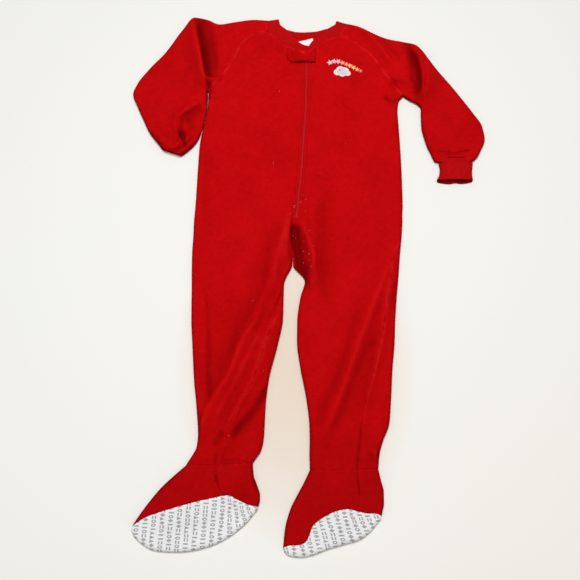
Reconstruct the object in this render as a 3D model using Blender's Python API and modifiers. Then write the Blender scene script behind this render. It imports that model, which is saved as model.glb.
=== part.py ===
"""Child's footed onesie pajama in red fleece, laid flat on its back: a zip-front sleeper with raglan sleeves,
ribbed cuffs, a neck band, a guard over the top of the zip and feet with soles.

Every piece that a maker would cut is one closed shell. Each limb is a flattened ring: t runs from the first
fold edge (0) over the upper layer to the second fold edge (1) and back below to the first (2), and s runs down
the limb through the rows of its table. Sizes are in millimetres; x points to the wearer's left, y to the head.
"""

import bpy
import numpy as np

# ---------------------------------------------------------------- driving sizes, mm
WALL = 2.2          # fleece
HALF = WALL / 2
GAP = 0.3           # between two pieces at a seam
LOW = HALF          # height of the lower layer's middle
FOLD = 3.5          # height of the middle of a fold edge
TOP = 6.6           # height of the upper layer's middle where it lies flattest
LEAST = 4.9         # and where it sinks most
ROLL = 5.5          # how far in from the edge the upper layer is level again
ROLL_LOW = 2.3      # the same for the lower layer
ARC = 0.10          # share of t that a rounded edge takes
ZIP_HALF = 2.1      # from the zip's middle to a front's edge
ZIP_END = 113.0     # y of the zip's lower end
TAPE_WALL = 1.0
MIDDLE = np.array([-0.5, 28.6, 0.0])  # the middle of what follows, which becomes the origin
LABEL_WALL = 1.0
GUARD_WALL = 2.6
CUFF_WALL = 2.2


def table(names, rows):
    """Named columns of a table: {name: array}."""
    return {name: np.array([row[i] for row in rows], float) for i, name in enumerate(names.split())}


# ---------------------------------------------------------------- sections down each limb
# side: where the side seam is; centre: the centre line, then the inner leg; split: 0 joined, 1 a leg of its own;
# side_t, inner_t: where the front's two long seams lie round the ring
BODY_COLUMNS = "side_x side_y centre_x centre_y split side_t inner_t"
BODY_RIGHT = table(BODY_COLUMNS, (
    (-158, 318, -3, 377.5, 0, 0, 1),
    (-158.5, 303, -3, 341.5, 0, 0, 1),
    (-161.5, 279.5, -3.5, 304.5, 0, 0, 1),
    (-166.5, 254.5, -5.5, 268, 0, 0, 1),
    (-170.5, 231.5, -8.5, 228.5, 0, 0, 1),
    (-173, 186, -11.5, 186, 0, 0, 1),
    (-175, 137.5, -16.5, 137.5, 0, 0, 1),
    (-176.5, 116, -19.5, 116, 0, 0, 1),
    (-177, 109.5, -20, 109.5, 0, 0, 1),
    (-177.5, 86.5, -22, 86.5, 0, 0, 1),
    (-179, 55, -24, 58, 0, 0, 1),
    (-179, 33, -25, 38, 1, 0, 1),
    (-178.5, 7, -37.5, 7, 1, 0, 0.97),
    (-178, -44, -39.5, -44, 1, 0, 0.86),
    (-175.5, -86, -47, -83, 1, -0.05, 0.81),
    (-172, -137, -60.5, -137, 1, -0.12, 0.77),
    (-168, -172.5, -65, -175, 1, -0.25, 0.62),
    (-164.5, -216, -67.5, -222, 1, -0.38, 0.43),
    (-166, -233.5, -71, -239, 1, -0.41, 0.45),
    (-181.5, -261.5, -83.5, -258, 1, -0.42, 0.495),
))
BODY_LEFT = table(BODY_COLUMNS, (
    (150, 310.5, -3, 377.5, 0, 0, 1),
    (143, 301.5, -3, 341.5, 0, 0, 1),
    (141, 284.5, -3.5, 304.5, 0, 0, 1),
    (142, 264.5, -5.5, 268, 0, 0, 1),
    (143.5, 233, -8.5, 228.5, 0, 0, 1),
    (145, 186, -11.5, 186, 0, 0, 1),
    (145.5, 137.5, -16.5, 137.5, 0, 0, 1),
    (144.5, 116, -19.5, 116, 0, 0, 1),
    (144.5, 109.5, -20, 109.5, 0, 0, 1),
    (143, 86.5, -22, 86.5, 0, 0.02, 1),
    (139.5, 55, -24, 58, 0, 0.12, 1),
    (137.5, 33, -25, 38, 1, 0.13, 1),
    (135.5, 11.5, -7, 13, 1, 0.135, 1),
    (133, -11.5, -13, -11.5, 1, 0.145, 1.02),
    (130, -47, -18, -47, 1, 0.16, 1.05),
    (128, -83, -18.5, -80, 1, 0.195, 1.12),
    (124, -122, -13.5, -119, 1, 0.235, 1.18),
    (121, -166.5, -4.5, -166.5, 1, 0.325, 1.26),
    (117.5, -201.5, -0.5, -201.5, 1, 0.365, 1.3),
    (108.5, -224.5, 0, -224.5, 1, 0.337, 1.31),
    (102.5, -245, -0.5, -245, 1, 0.317, 1.32),
    (100, -266.5, 0, -268, 1, 0.33, 1.32),
))
# under: the underarm seam; over: the fold along the top of the arm
SLEEVE_COLUMNS = "under_x under_y over_x over_y"
SLEEVE_RIGHT = table(SLEEVE_COLUMNS, (
    (-159, 319, -63, 440.5),
    (-159, 319, -87, 442),
    (-159, 319, -117.5, 438),
    (-159, 319, -142, 434),
    (-159, 319, -163, 442.5),
    (-159, 319, -182.5, 446),
    (-159, 319, -203, 422.5),
    (-159.5, 317.5, -229, 384.5),
    (-160, 310.5, -251.5, 359.5),
    (-161, 301.5, -272, 331.5),
    (-163.5, 288, -278, 314.5),
    (-167.5, 269.5, -270, 293),
    (-173, 251.5, -260, 271),
    (-180.5, 237.5, -250, 253),
    (-191, 227, -241, 242.5),
    (-201.5, 220.5, -232.5, 234),
))
SLEEVE_LEFT = table(SLEEVE_COLUMNS, (
    (150.5, 311.5, 60.5, 435.5),
    (152.5, 309.5, 77.5, 431.5),
    (155, 308, 99.5, 420.5),
    (158, 305.5, 128.5, 408.5),
    (165.5, 301.5, 154, 403.5),
    (173.5, 296.5, 170, 398),
    (178, 290, 188.5, 374),
    (178.5, 282, 207, 350),
    (179, 271, 225, 328),
    (180, 256.5, 243.5, 304.5),
    (183.5, 241.5, 260, 283),
    (187.5, 226.5, 273.5, 261.5),
    (191, 216, 277, 240),
    (194, 208.5, 270, 221.5),
    (197, 203, 264, 210),
    (205, 201, 254.5, 201.5),
))
CUFF_RIGHT = table(SLEEVE_COLUMNS, (
    (-206, 220, -229.5, 230.5),
    (-202.5, 227, -227, 237.5),
    (-199, 234, -224, 245),
))
CUFF_LEFT = table(SLEEVE_COLUMNS, (
    (205, 200.5, 254.5, 201),
    (204, 192.5, 254.5, 192.5),
    (201, 181.5, 254.5, 181.5),
    (199, 172, 254.5, 172.5),
))
# first: the fold edge where t is 0; last: where t is 1; seam_t, back_t: the two seams between vamp and heel
FOOT_COLUMNS = "first_x first_y last_x last_y seam_t back_t"
FOOT_RIGHT = table(FOOT_COLUMNS, (
    (-182.5, -263, -83, -260, 0.495, -0.42),
    (-199.5, -277, -82, -275, 0.53, -0.4),
    (-217.5, -294, -76.5, -290.5, 0.59, -0.37),
    (-233, -312.5, -72.5, -304, 0.64, -0.34),
    (-248, -333, -73, -313, 0.69, -0.31),
    (-257.5, -347.5, -75, -319.5, 0.71, -0.3),
))
FOOT_LEFT = table(FOOT_COLUMNS, (
    (100.5, -268.5, 0, -270, 0.33, -0.68),
    (104, -283.5, -9, -286.5, 0.32, -0.7),
    (107.5, -299, -19, -304.5, 0.31, -0.72),
    (107.5, -314.5, -28.5, -323.5, 0.29, -0.74),
    (105.5, -325, -36, -349.5, 0.26, -0.76),
    (103.5, -333, -39, -376.5, 0.24, -0.76),
))

# ---------------------------------------------------------------- seam lines, (x, y)
RAGLAN_FRONT_RIGHT = ((-158.5, 319), (-151.5, 328), (-137.5, 344.5), (-123, 364), (-115.5, 379),
                      (-107.5, 396.5), (-95, 410), (-79, 419), (-65.5, 420.5))
NECK_SEAM_RIGHT = ((-65.5, 420.5), (-51.5, 410), (-38.5, 400), (-26, 388.5), (-3, 377.5))
RAGLAN_FRONT_LEFT = ((150.5, 311), (139.5, 324), (126, 341.5), (111.5, 364),
                     (96, 384.5), (82.5, 394.5), (67.5, 407.5), (48, 412.5))
NECK_SEAM_LEFT = ((48, 412.5), (29, 405), (12.5, 394.5), (4, 384.5), (-3, 377.5))
SLEEVE_NECK_RIGHT = ((-65.5, 420.5), (-65, 430), (-63, 440.5))
SLEEVE_NECK_LEFT = ((48, 412.5), (56.5, 424), (60.5, 435.5))
RAGLAN_BACK_RIGHT = ((-158.5, 319), (-128, 352), (-93, 384.5), (-61, 408.5), (-43.5, 418.5))
RAGLAN_BACK_LEFT = ((150.5, 311), (122.5, 345), (89.5, 379), (61, 403.5), (40, 418.5))
NECK_BACK_RIGHT = ((-43.5, 418.5), (-24, 412), (-3, 410))
NECK_BACK_LEFT = ((40, 418.5), (17.5, 412), (-3, 410))
SLEEVE_BACKNECK_RIGHT = ((-43.5, 418.5), (-56.5, 430), (-63, 440.5))
SLEEVE_BACKNECK_LEFT = ((40, 418.5), (53, 427.5), (60.5, 435.5))
SOLE_SEAM_RIGHT = ((-257.5, -347.5), (-238.5, -335), (-217, -327), (-174, -314.5), (-141, -307),
                   (-117.5, -303.5), (-106, -309), (-88.5, -317), (-75, -319.5))
SOLE_EDGE_RIGHT = ((-258.5, -351.5), (-254.5, -360.5), (-246, -369), (-228.5, -379.5), (-201, -383), (-172.5, -381.5),
                   (-137, -372.5), (-108.5, -356.5), (-91, -341.5), (-79.5, -328), (-75, -323))
SOLE_SEAM_LEFT = ((103.5, -333), (95.5, -329), (84, -329), (69.5, -326), (55, -322.5), (36, -326), (17.5, -335.5),
                  (4, -346.5), (-1, -359), (-6.5, -369), (-16, -373), (-29, -373.5), (-39, -376.5))
SOLE_EDGE_LEFT = ((103.5, -336), (99, -341), (89, -353), (71.5, -366), (53, -371.5),
                  (28.5, -378), (-0.5, -388.5), (-19, -390), (-32, -387), (-38.5, -381))
ZIP = ((-3, 389.5), (-3, 341.5), (-3.5, 304.5), (-5.5, 268),
       (-8.5, 228.5), (-11.5, 186), (-16.5, 137.5), (-18.5, 118))
LABEL = ((-18, 403.5), (7.5, 410), (12.5, 382.5), (-12, 376))

# from the neck seam to the band's free edge, by quarter of each stretch
BAND_COLUMNS = "stretch share across_x across_y"
BAND = table(BAND_COLUMNS, (
    (0, 0.0, -0.4, 17.0), (0, 0.4, 10.0, 13.0), (0, 0.7, 13.0, 12.0), (0, 1.0, 20.0, 9.0),
    (1, 0.5, 17.0, 6.0), (1, 1.0, 14.5, 1.5), (2, 0.5, 12.0, 3.5), (2, 1.0, 8.5, 7.0),
    (3, 0.5, 3.5, 10.0), (3, 1.0, 0.0, 11.0),
))
BAND_OTHER = table(BAND_COLUMNS, (
    (0, 0.0, 2.6, 16.0), (0, 0.4, -4.5, 8.5), (0, 0.7, -8.0, 7.5), (0, 1.0, -11.0, 9.0),
    (1, 0.5, -11.0, 8.0), (1, 1.0, -14.5, 2.5), (2, 0.5, -10.5, 5.5), (2, 1.0, -7.5, 9.0),
    (3, 0.5, -2.5, 10.5), (3, 1.0, 0.0, 11.0),
))

# ---------------------------------------------------------------- how the upper layer rises and falls
# x, y, half width, half length, turn in degrees, height
SWELLS = table("x y wide long turn height", (
    (-15, 235, 150, 185, 0, 2.0),
    (-118, -60, 70, 200, -8, 2.6),
    (62, -70, 78, 215, 6, 3.2),
    (-125, 392, 60, 48, 20, 1.8),
    (-222, 318, 58, 66, 30, 3.2),
    (-212, 240, 44, 46, 0, 4.6),
    (150, 362, 60, 48, 0, 2.0),
    (228, 262, 46, 66, -30, 3.0),
    (-165, -305, 90, 52, 25, 4.4),
    (-100, -290, 45, 45, 0, 2.5),
    (45, -315, 66, 72, 20, 4.6),
    (226, 186, 34, 24, 0, 2.4),
))
# name, the line it runs along, height, reach to one side, reach to the other
FOLDS = (
    ("leg_right_long", ((-34, 121), (-64, 13), (-88, -62), (-130, -155), (-175, -252)), 4, 16, 9),
    ("leg_right_inseam", ((-41, -16), (-56, -56), (-75, -122), (-103, -171), (-133, -256)), 3, 8, 8),
    ("leg_right_hollow", ((-62, -146), (-79, -183), (-100, -212), (-115, -242)), -2.6, 9, 9),
    ("leg_right_side", ((-160, -54), (-154, -122), (-149, -187)), -2, 8, 8),
    ("leg_left_long", ((131, 80), (103, -10), (57, -132), (28, -203), (6, -256)), 4.5, 18, 9),
    ("leg_left_hollow", ((105, -50), (86, -122), (64, -181), (46, -219)), -2.6, 10, 10),
    ("leg_left_side_seam", ((129, 68), (114, -38), (96, -122), (81, -177), (69, -268)), 2.5, 7, 7),
    ("belly_hollow", ((25, 173), (28, 109), (31, 47)), -1.5, 10, 14),
    ("belly_ridge", ((5, 187), (35, 174)), 1.2, 5, 6),
    ("crotch_ridge", ((-17, 118), (-3, 82), (8, 52), (8, 18), (1, -13)), 3.4, 7, 9),
    ("crotch_hollow", ((-23, 106), (-22, 69), (-23, 43), (-14, 21)), -3.6, 4, 8),
    ("sleeve_right_bend", ((-184, 441), (-173, 381), (-166, 349), (-162, 315)), 5.5, 16, 5.5),
    ("sleeve_right_bend_hollow", ((-163, 434), (-156, 390), (-152, 349), (-155, 330)), -2, 6, 9),
    ("sleeve_right_tuck", ((-164, 337), (-136, 340)), 1.5, 5, 5),
    ("sleeve_right_lower", ((-165, 305), (-201, 275), (-207, 256), (-205, 228)), 3, 8, 6),
    ("sleeve_right_pucker", ((-196, 258), (-195, 236)), -1.8, 5, 5),
    ("sleeve_left_bend", ((165, 398), (180, 371), (180, 296)), 4, 6, 16),
    ("sleeve_left_bend_hollow", ((170, 390), (167, 347), (171, 306)), -2, 7, 5),
    ("shoulder_left", ((68, 427), (93, 421), (117, 393), (134, 359)), 1.6, 9, 9),
    ("underarm_left", ((125, 342), (151, 338), (173, 321), (177, 298)), 2.4, 6, 6),
    ("underarm_left_hollow", ((130, 335), (139, 320), (147, 311)), -2.4, 6, 6),
    ("neck_crease_outer", ((-80, 402), (-53, 386)), 1.2, 5, 5),
    ("neck_crease_inner", ((-56, 395), (-35, 402)), 1, 4, 4),
    ("ankle_left_wrinkle", ((90, -222), (97, -239), (94, -258)), 1.6, 5, 5),
    ("ankle_right_heel", ((-130, -251), (-102, -250), (-86, -255)), 1.6, 5, 5),
    ("zip_stand", ((-3, 369), (-3, 305), (-9, 228), (-17, 137), (-20, 106)), 1, 8, 8),
)


def smooth(knots, values, x):
    """Values between knots without overshoot."""
    knots, values, x = np.asarray(knots, float), np.asarray(values, float), np.asarray(x, float)
    step = np.diff(knots)
    slope = np.diff(values) / step
    tangent = np.empty_like(values)
    tangent[0], tangent[-1] = slope[0], slope[-1]
    a, b = slope[:-1], slope[1:]
    safe = a * b > 0
    wa, wb = 2 * step[1:] + step[:-1], step[1:] + 2 * step[:-1]
    tangent[1:-1] = np.where(safe, (wa + wb) / (wa / np.where(safe, a, 1) + wb / np.where(safe, b, 1)), 0)
    i = np.clip(np.searchsorted(knots, x, side="right") - 1, 0, len(step) - 1)
    h, u = step[i], (x - knots[i]) / step[i]
    return ((2 * u**3 - 3 * u**2 + 1) * values[i] + (u**3 - 2 * u**2 + u) * h * tangent[i]
            + (3 * u**2 - 2 * u**3) * values[i + 1] + (u**3 - u**2) * h * tangent[i + 1])


def line_through(points, count=160):
    """A smooth line through points, at even steps along it."""
    points = np.asarray(points, float)
    if len(points) > 2:
        reach = np.r_[0, np.cumsum(np.sqrt(np.linalg.norm(np.diff(points, axis=0), axis=1)))]
        fine = np.linspace(0, reach[-1], 400)
        ends = np.vstack([2 * points[0] - points[1], points, 2 * points[-1] - points[-2]])
        knots = np.r_[reach[0] - (reach[1] - reach[0]), reach, 2 * reach[-1] - reach[-2]]
        out = []
        for value in fine:
            i = int(np.clip(np.searchsorted(knots, value, side="right") - 1, 1, len(knots) - 3))
            p, k = ends[i - 1:i + 3], knots[i - 1:i + 3]
            a = [(k[j + 1] - value) / (k[j + 1] - k[j]) * p[j] + (value - k[j]) / (k[j + 1] - k[j]) * p[j + 1] for j in range(3)]
            b = [(k[j + 2] - value) / (k[j + 2] - k[j]) * a[j] + (value - k[j]) / (k[j + 2] - k[j]) * a[j + 1] for j in range(2)]
            out.append((k[2] - value) / (k[2] - k[1]) * b[0] + (value - k[1]) / (k[2] - k[1]) * b[1])
        points = np.array(out)
    run = np.r_[0, np.cumsum(np.linalg.norm(np.diff(points, axis=0), axis=1))]
    even = np.linspace(0, run[-1], count)
    return np.stack([np.interp(even, run, points[:, k]) for k in (0, 1)], 1)


class Line:
    """A seam line, read by its share from 0 to 1; corner is the share where its second stretch begins."""

    def __init__(self, *stretches, move=0.0):
        parts = [line_through(p) for p in stretches]
        if move:
            moved = []
            for part in parts:
                along = np.gradient(part, axis=0)
                along /= np.linalg.norm(along, axis=1)[:, None]
                moved.append(part + move * np.stack([along[:, 1], -along[:, 0]], 1))
            parts = moved
        lengths = [np.linalg.norm(np.diff(p, axis=0), axis=1).sum() for p in parts]
        self.points = np.vstack(parts)
        run = np.r_[0, np.cumsum(np.linalg.norm(np.diff(self.points, axis=0), axis=1))]
        self.length = run[-1]
        self.run = run / run[-1]
        self.corner = lengths[0] if len(parts) > 1 else None

    def at(self, share):
        return np.stack([np.interp(share, self.run, self.points[:, k]) for k in (0, 1)], -1)


FOLD_LINES = [(line_through(points, 40), height, one, other) for _, points, height, one, other in FOLDS]


def rise(x, y):
    """Height of the upper layer's middle at a point of the plan."""
    shape = np.shape(x)
    x, y = np.atleast_1d(np.asarray(x, float)), np.atleast_1d(np.asarray(y, float))
    z = np.full(x.shape, TOP)
    for k in range(len(SWELLS["x"])):
        turn = np.radians(SWELLS["turn"][k])
        dx, dy = x - SWELLS["x"][k], y - SWELLS["y"][k]
        u = (dx * np.cos(turn) + dy * np.sin(turn)) / SWELLS["wide"][k]
        v = (-dx * np.sin(turn) + dy * np.cos(turn)) / SWELLS["long"][k]
        z = z + SWELLS["height"][k] * np.clip(1 - u * u - v * v, 0, 1) ** 2
    for points, height, one, other in FOLD_LINES:
        far = 2.4 * max(one, other)
        near = ((x > points[:, 0].min() - far) & (x < points[:, 0].max() + far)
                & (y > points[:, 1].min() - far) & (y < points[:, 1].max() + far))
        if not near.any():
            continue
        px, py = x[near][:, None], y[near][:, None]
        a, d = points[:-1], np.diff(points, axis=0)
        share = np.clip(((px - a[:, 0]) * d[:, 0] + (py - a[:, 1]) * d[:, 1]) / (d**2).sum(1), 0, 1)
        ex, ey = px - a[:, 0] - share * d[:, 0], py - a[:, 1] - share * d[:, 1]
        best = np.argmin(ex**2 + ey**2, axis=1)
        row = np.arange(len(best))
        away = np.sqrt(ex[row, best] ** 2 + ey[row, best] ** 2)
        side = d[best, 0] * ey[row, best] - d[best, 1] * ex[row, best]
        along = (best + share[row, best]) / len(d)
        reach = np.where(side > 0, other, one)
        fade = np.clip(along / 0.22, 0, 1) * np.clip((1 - along) / 0.22, 0, 1)
        fade = fade * fade * (3 - 2 * fade)
        z[near] += height * fade * np.exp(-((away / reach) ** 2))
    soft = LEAST + 0.8 * np.exp((np.minimum(z, LEAST + 0.8) - LEAST - 0.8) / 0.8)
    return np.where(z > LEAST + 0.8, z, soft).reshape(shape)


def thicker(x, y):
    """How much more than the wall the cloth measures upwards where it slopes."""
    e = 0.5
    gx = (rise(x + e, y) - rise(x - e, y)) / (2 * e)
    gy = (rise(x, y + e) - rise(x, y - e)) / (2 * e)
    return np.minimum(np.sqrt(1 + gx * gx + gy * gy), 1.5)


def ease(value):
    value = np.clip(value, 0, 1)
    return value * value * (3 - 2 * value)


class Limb:
    """A flattened ring. first and last are its fold edges by station; point() gives the cloth at s, t and off its middle."""

    def __init__(self, first, last, start=None, end=None, corners=(0.5, 0.5), fade=3.0, end_fade=3.0,
                 open_last=None, low_shift=None, top=None, low=LOW, half=HALF, fold=FOLD, roll=ROLL, roll_low=ROLL_LOW):
        self.first, self.last = np.asarray(first, float), np.asarray(last, float)
        self.count = len(self.first)
        self.start, self.end, self.corners = start, end, corners
        self.fade, self.end_fade = fade, end_fade
        self.open_last = np.ones(self.count) if open_last is None else open_last
        self.low_shift, self.top, self.low, self.half, self.fold = low_shift, top, low, half, fold
        self.roll, self.roll_low = roll, roll_low

    def edge(self, which, s):
        return np.stack([smooth(np.arange(self.count), which[:, k], s) for k in (0, 1)], -1)

    def distance(self, a, length, reach, roll, off, closed, corner=None, corner_t=None):
        """How far along a row of this length the share a lies, with rounded ends."""
        one, two = np.clip(a / ARC, 0, 1), np.clip((1 - a) / ARC, 0, 1)
        first = self.half + roll - (roll + off) * np.cos(one * np.pi / 2)
        second = closed * (self.half + roll - (roll + off) * np.cos(two * np.pi / 2)) + (1 - closed) * reach * two
        if corner is None:
            middle = reach + (length - 2 * reach) * (a - ARC) / (1 - 2 * ARC)
        else:
            middle = np.where(a < corner_t, reach + (corner - reach) * (a - ARC) / (corner_t - ARC),
                              corner + (length - reach - corner) * (a - corner_t) / (1 - ARC - corner_t))
        return np.where(a < ARC, first, np.where(a > 1 - ARC, length - second, middle))

    def point(self, s, t, off):
        s, t = np.broadcast_arrays(np.asarray(s, float), np.asarray(t, float))
        t = np.mod(t, 2.0)
        upper = t <= 1
        a = np.where(upper, t, 2 - t)
        roll = np.where(upper, self.roll, self.roll_low)
        reach = self.half + roll
        closed = np.interp(s, np.arange(self.count), self.open_last)
        first, last = self.edge(self.first, s), self.edge(self.last, s)
        if self.low_shift is not None:
            last = last + np.where(upper, 0, 1)[..., None] * self.low_shift(s)
        width = np.linalg.norm(last - first, axis=-1)
        share = self.distance(a, width, reach, roll, off, closed) / width
        parts, bend = [], 0
        for lines, weight in ((self.start, ease(1 - s / self.fade)),
                              (self.end, ease(1 - (self.count - 1 - s) / self.end_fade))):
            if lines is None:
                continue
            for k, line in enumerate(lines):
                if line is None:
                    continue
                here = weight * (upper if k == 0 else ~upper)
                d = self.distance(a, line.length, reach, roll, off, closed, line.corner, self.corners[k])
                f = d / line.length
                ends = line.at(np.array([0.0, 1.0]))
                parts.append((here, f))
                bend = bend + here[..., None] * (line.at(f) - ends[0] - (ends[1] - ends[0]) * f[..., None])
        total = sum(h for h, _ in parts) if parts else 0
        share = (1 - total) * share + sum(h * f for h, f in parts)
        plan = first + (last - first) * share[..., None] + bend
        one, two = np.sin(np.clip(a / ARC, 0, 1) * np.pi / 2), np.sin(np.clip((1 - a) / ARC, 0, 1) * np.pi / 2)
        level = one * (closed * two + (1 - closed))
        x, y = plan[..., 0], plan[..., 1]
        high = (rise(x, y) if self.top is None else self.top(x, y)) + off * (thicker(x, y) if self.top is None else 1)
        z = self.fold + np.where(upper, high - self.fold, self.low - off - self.fold) * level
        return np.stack([x, y, z], -1)

    def seam(self, s, t, sign):
        """t moved by half a gap."""
        t = t + sign * 1e-6
        e = 1e-4 * sign
        speed = np.linalg.norm(self.point(s, t + e, 0.0) - self.point(s, t, 0.0), axis=-1) / 1e-4
        return t + sign * 2.1 * GAP / 2 / np.maximum(speed, 1e-6)


def spread(start, stop, count, dense=5.0):
    """count values of t from start to stop, closer together round the fold edges."""
    fine = np.linspace(0, 1, 400)
    out = []
    for a, b in zip(np.atleast_1d(start), np.atleast_1d(stop)):
        t = a + (b - a) * fine
        near = np.abs(t - np.round(t)) < ARC * 1.15
        run = np.r_[0, np.cumsum(np.where(near, dense, 1.0)[1:])]
        out.append(np.interp(np.linspace(0, run[-1], count), run, t))
    return np.array(out)


MATERIALS = {}


def material(name, colour, roughness, metallic=0.0):
    made = bpy.data.materials.new(name)
    made.use_nodes = True
    shader = made.node_tree.nodes["Principled BSDF"]
    shader.inputs["Base Color"].default_value = (*colour, 1.0)
    shader.inputs["Roughness"].default_value = roughness
    shader.inputs["Metallic"].default_value = metallic
    MATERIALS[name] = made


def add(name, points, faces, cloth):
    """A closed object in metres, its faces turned outwards."""
    points = np.asarray(points, float)
    volume = 0.0
    for face in faces:
        p = points[list(face)]
        for k in range(1, len(face) - 1):
            volume += np.dot(p[0], np.cross(p[k], p[k + 1]))
    if volume < 0:
        faces = [tuple(reversed(face)) for face in faces]
    mesh = bpy.data.meshes.new(name)
    mesh.from_pydata([tuple(p) for p in (points - MIDDLE) / 1000.0], [], faces)
    mesh.materials.append(MATERIALS[cloth])
    mesh.update()
    mesh.shade_smooth()
    made = bpy.data.objects.new(name, mesh)
    COLLECTION.objects.link(made)
    return made


def shell(name, outer, inner, cloth):
    """A wall between two grids of points, closed round its border."""
    n, m = outer.shape[:2]
    points = np.vstack([outer.reshape(-1, 3), inner.reshape(-1, 3)])
    at = lambda side, i, j: side * n * m + i * m + j
    faces = []
    for i in range(n - 1):
        for j in range(m - 1):
            faces.append((at(0, i, j), at(0, i + 1, j), at(0, i + 1, j + 1), at(0, i, j + 1)))
            faces.append((at(1, i, j), at(1, i, j + 1), at(1, i + 1, j + 1), at(1, i + 1, j)))
    border = [(i, 0) for i in range(n)] + [(n - 1, j) for j in range(1, m)]
    border += [(i, m - 1) for i in range(n - 2, -1, -1)] + [(0, j) for j in range(m - 2, 0, -1)]
    for (i, j), (k, l) in zip(border, border[1:] + border[:1]):
        faces.append((at(0, k, l), at(0, i, j), at(1, i, j), at(1, k, l)))
    return add(name, points, faces, cloth)


def wall(name, limb, s, t, cloth, move=None):
    """One piece of a limb: rows s, columns t (a row of t for each s)."""
    s = np.asarray(s, float)[:, None]
    sides = [limb.point(s, t, off) for off in (limb.half, -limb.half)]
    if move is not None:
        sides = [move(side) for side in sides]
    return shell(name, *sides, cloth)


# ---------------------------------------------------------------- the limbs
def zip_room(rows):
    """From the centre line to a front's edge: the zip's edge, then the seam, then the leg's own fold."""
    y = rows["centre_y"]
    return np.where(y > ZIP_END, ZIP_HALF, GAP / 2) + np.where((rows["split"] > 0) & (y > 0), 0.6, 0.0)


def body(rows, side, raglan, neck, back_raglan, back_neck):
    corner = np.array(BACK_NECK_MIDDLE) + (side * GAP / 2, 0)
    centre = np.stack([rows["centre_x"] + side * zip_room(rows), rows["centre_y"]], 1)
    front_end = centre[0]
    move = -side * GAP / 2
    front = Line(raglan, list(neck[:-1]) + [tuple(front_end)], move=move)
    back = Line(back_raglan, list(back_neck[:-1]) + [tuple(corner)], move=move)
    side_edge = np.stack([rows["side_x"], rows["side_y"]], 1)
    side_edge[0] = front.at(0.0)
    centre[0] = front.at(1.0)
    top_shift = back.at(1.0) - front.at(1.0)
    seam = np.where(rows["split"] > 0, 0.0, -side * (zip_room(rows) - GAP / 2))

    def to_back_seam(s):
        """The back has no zip, so its centre edges stay a seam's gap apart."""
        near = ease(1 - s / 3.0)
        across = (1 - near) * np.interp(s, np.arange(len(seam)), seam)
        return near[..., None] * top_shift + np.stack([across, np.zeros_like(across)], -1)

    return Limb(side_edge, centre, start=(front, back), corners=(FRONT_CORNER, BACK_CORNER), fade=4.0,
                open_last=rows["split"], low_shift=to_back_seam)


def sleeve(rows, side, raglan, neck, back_raglan, back_neck):
    move = side * GAP / 2
    front, back = Line(raglan, neck, move=move), Line(back_raglan, back_neck, move=move)
    under = np.stack([rows["under_x"], rows["under_y"]], 1)
    over = np.stack([rows["over_x"], rows["over_y"]], 1)
    under[0], over[0] = front.at(0.0), front.at(1.0)
    return Limb(under, over, start=(front, back), corners=(SLEEVE_CORNER, SLEEVE_CORNER), fade=2.5)


def columns(corner, edges, along, over, closed):
    """t down a first row: the rounded edge, the first seam to its corner, the second seam."""
    parts = [np.linspace(0, ARC, edges + 1), np.linspace(ARC, corner, along + 1)[1:],
             np.linspace(corner, 1 - ARC, over + 1)[1:]]
    parts.append(np.linspace(1 - ARC, 1, edges + 1 if closed else 2)[1:])
    return np.concatenate(parts)


FRONT_CORNER, BACK_CORNER, SLEEVE_CORNER = 0.60, 0.72, 0.78

# ---------------------------------------------------------------- building
def clear():
    for thing in list(bpy.data.objects):
        bpy.data.objects.remove(thing, do_unlink=True)


def half_steps(last, fine_to, extra=()):
    rows = list(np.arange(0, fine_to, 0.5)) + list(np.arange(fine_to, last + 0.01, 1.0)) + list(extra)
    return np.array(sorted(set(rows)))


def blend(s, first, start, stop, reach=2.0):
    """Columns of t by row: those of the first row, giving way to an even spread."""
    even = spread(start, stop, len(first))
    weight = ease(1 - np.asarray(s) / reach)[:, None]
    out = weight * first + (1 - weight) * even
    out[:, 0], out[:, -1] = start, stop
    return out


def body_pieces(word, rows, limb, stations):
    side = smooth(np.arange(limb.count), rows["side_t"], stations)
    inner = smooth(np.arange(limb.count), rows["inner_t"], stations)
    first = columns(FRONT_CORNER, EDGES, ALONG, OVER, False)
    t = blend(stations, first, limb.seam(stations, side, 1), limb.seam(stations, inner, -1))
    wall("front_" + word, limb, stations, t, "fleece_red")
    first = 2 - columns(BACK_CORNER, EDGES, ALONG_LOW, OVER, False)[::-1]
    t = blend(stations, first, limb.seam(stations, inner, 1), limb.seam(stations, side + 2, -1))
    wall("back_" + word, limb, stations, t, "fleece_red")


def sleeve_columns():
    upper, lower = (columns(SLEEVE_CORNER, EDGES, along, NECK, True) for along in (ALONG, ALONG_LOW))
    return np.concatenate([upper, 2 - lower[::-1][1:]])


def sleeve_piece(word, limb, stations):
    t = np.tile(sleeve_columns(), (len(stations), 1))
    t[:, 0] = limb.seam(stations, np.zeros(len(stations)), 1)
    t[:, -1] = limb.seam(stations, np.full(len(stations), 2.0), -1)
    wall("sleeve_" + word, limb, stations, t, "fleece_red")


def cuff_piece(word, limb, stations):
    t = spread(np.zeros(len(stations)), np.full(len(stations), 2.0), 15)
    t[:, 0] = limb.seam(stations, t[:, 0], 1)
    t[:, -1] = limb.seam(stations, t[:, -1], -1)
    wall("cuff_" + word, limb, stations, t, "rib_red")


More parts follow.
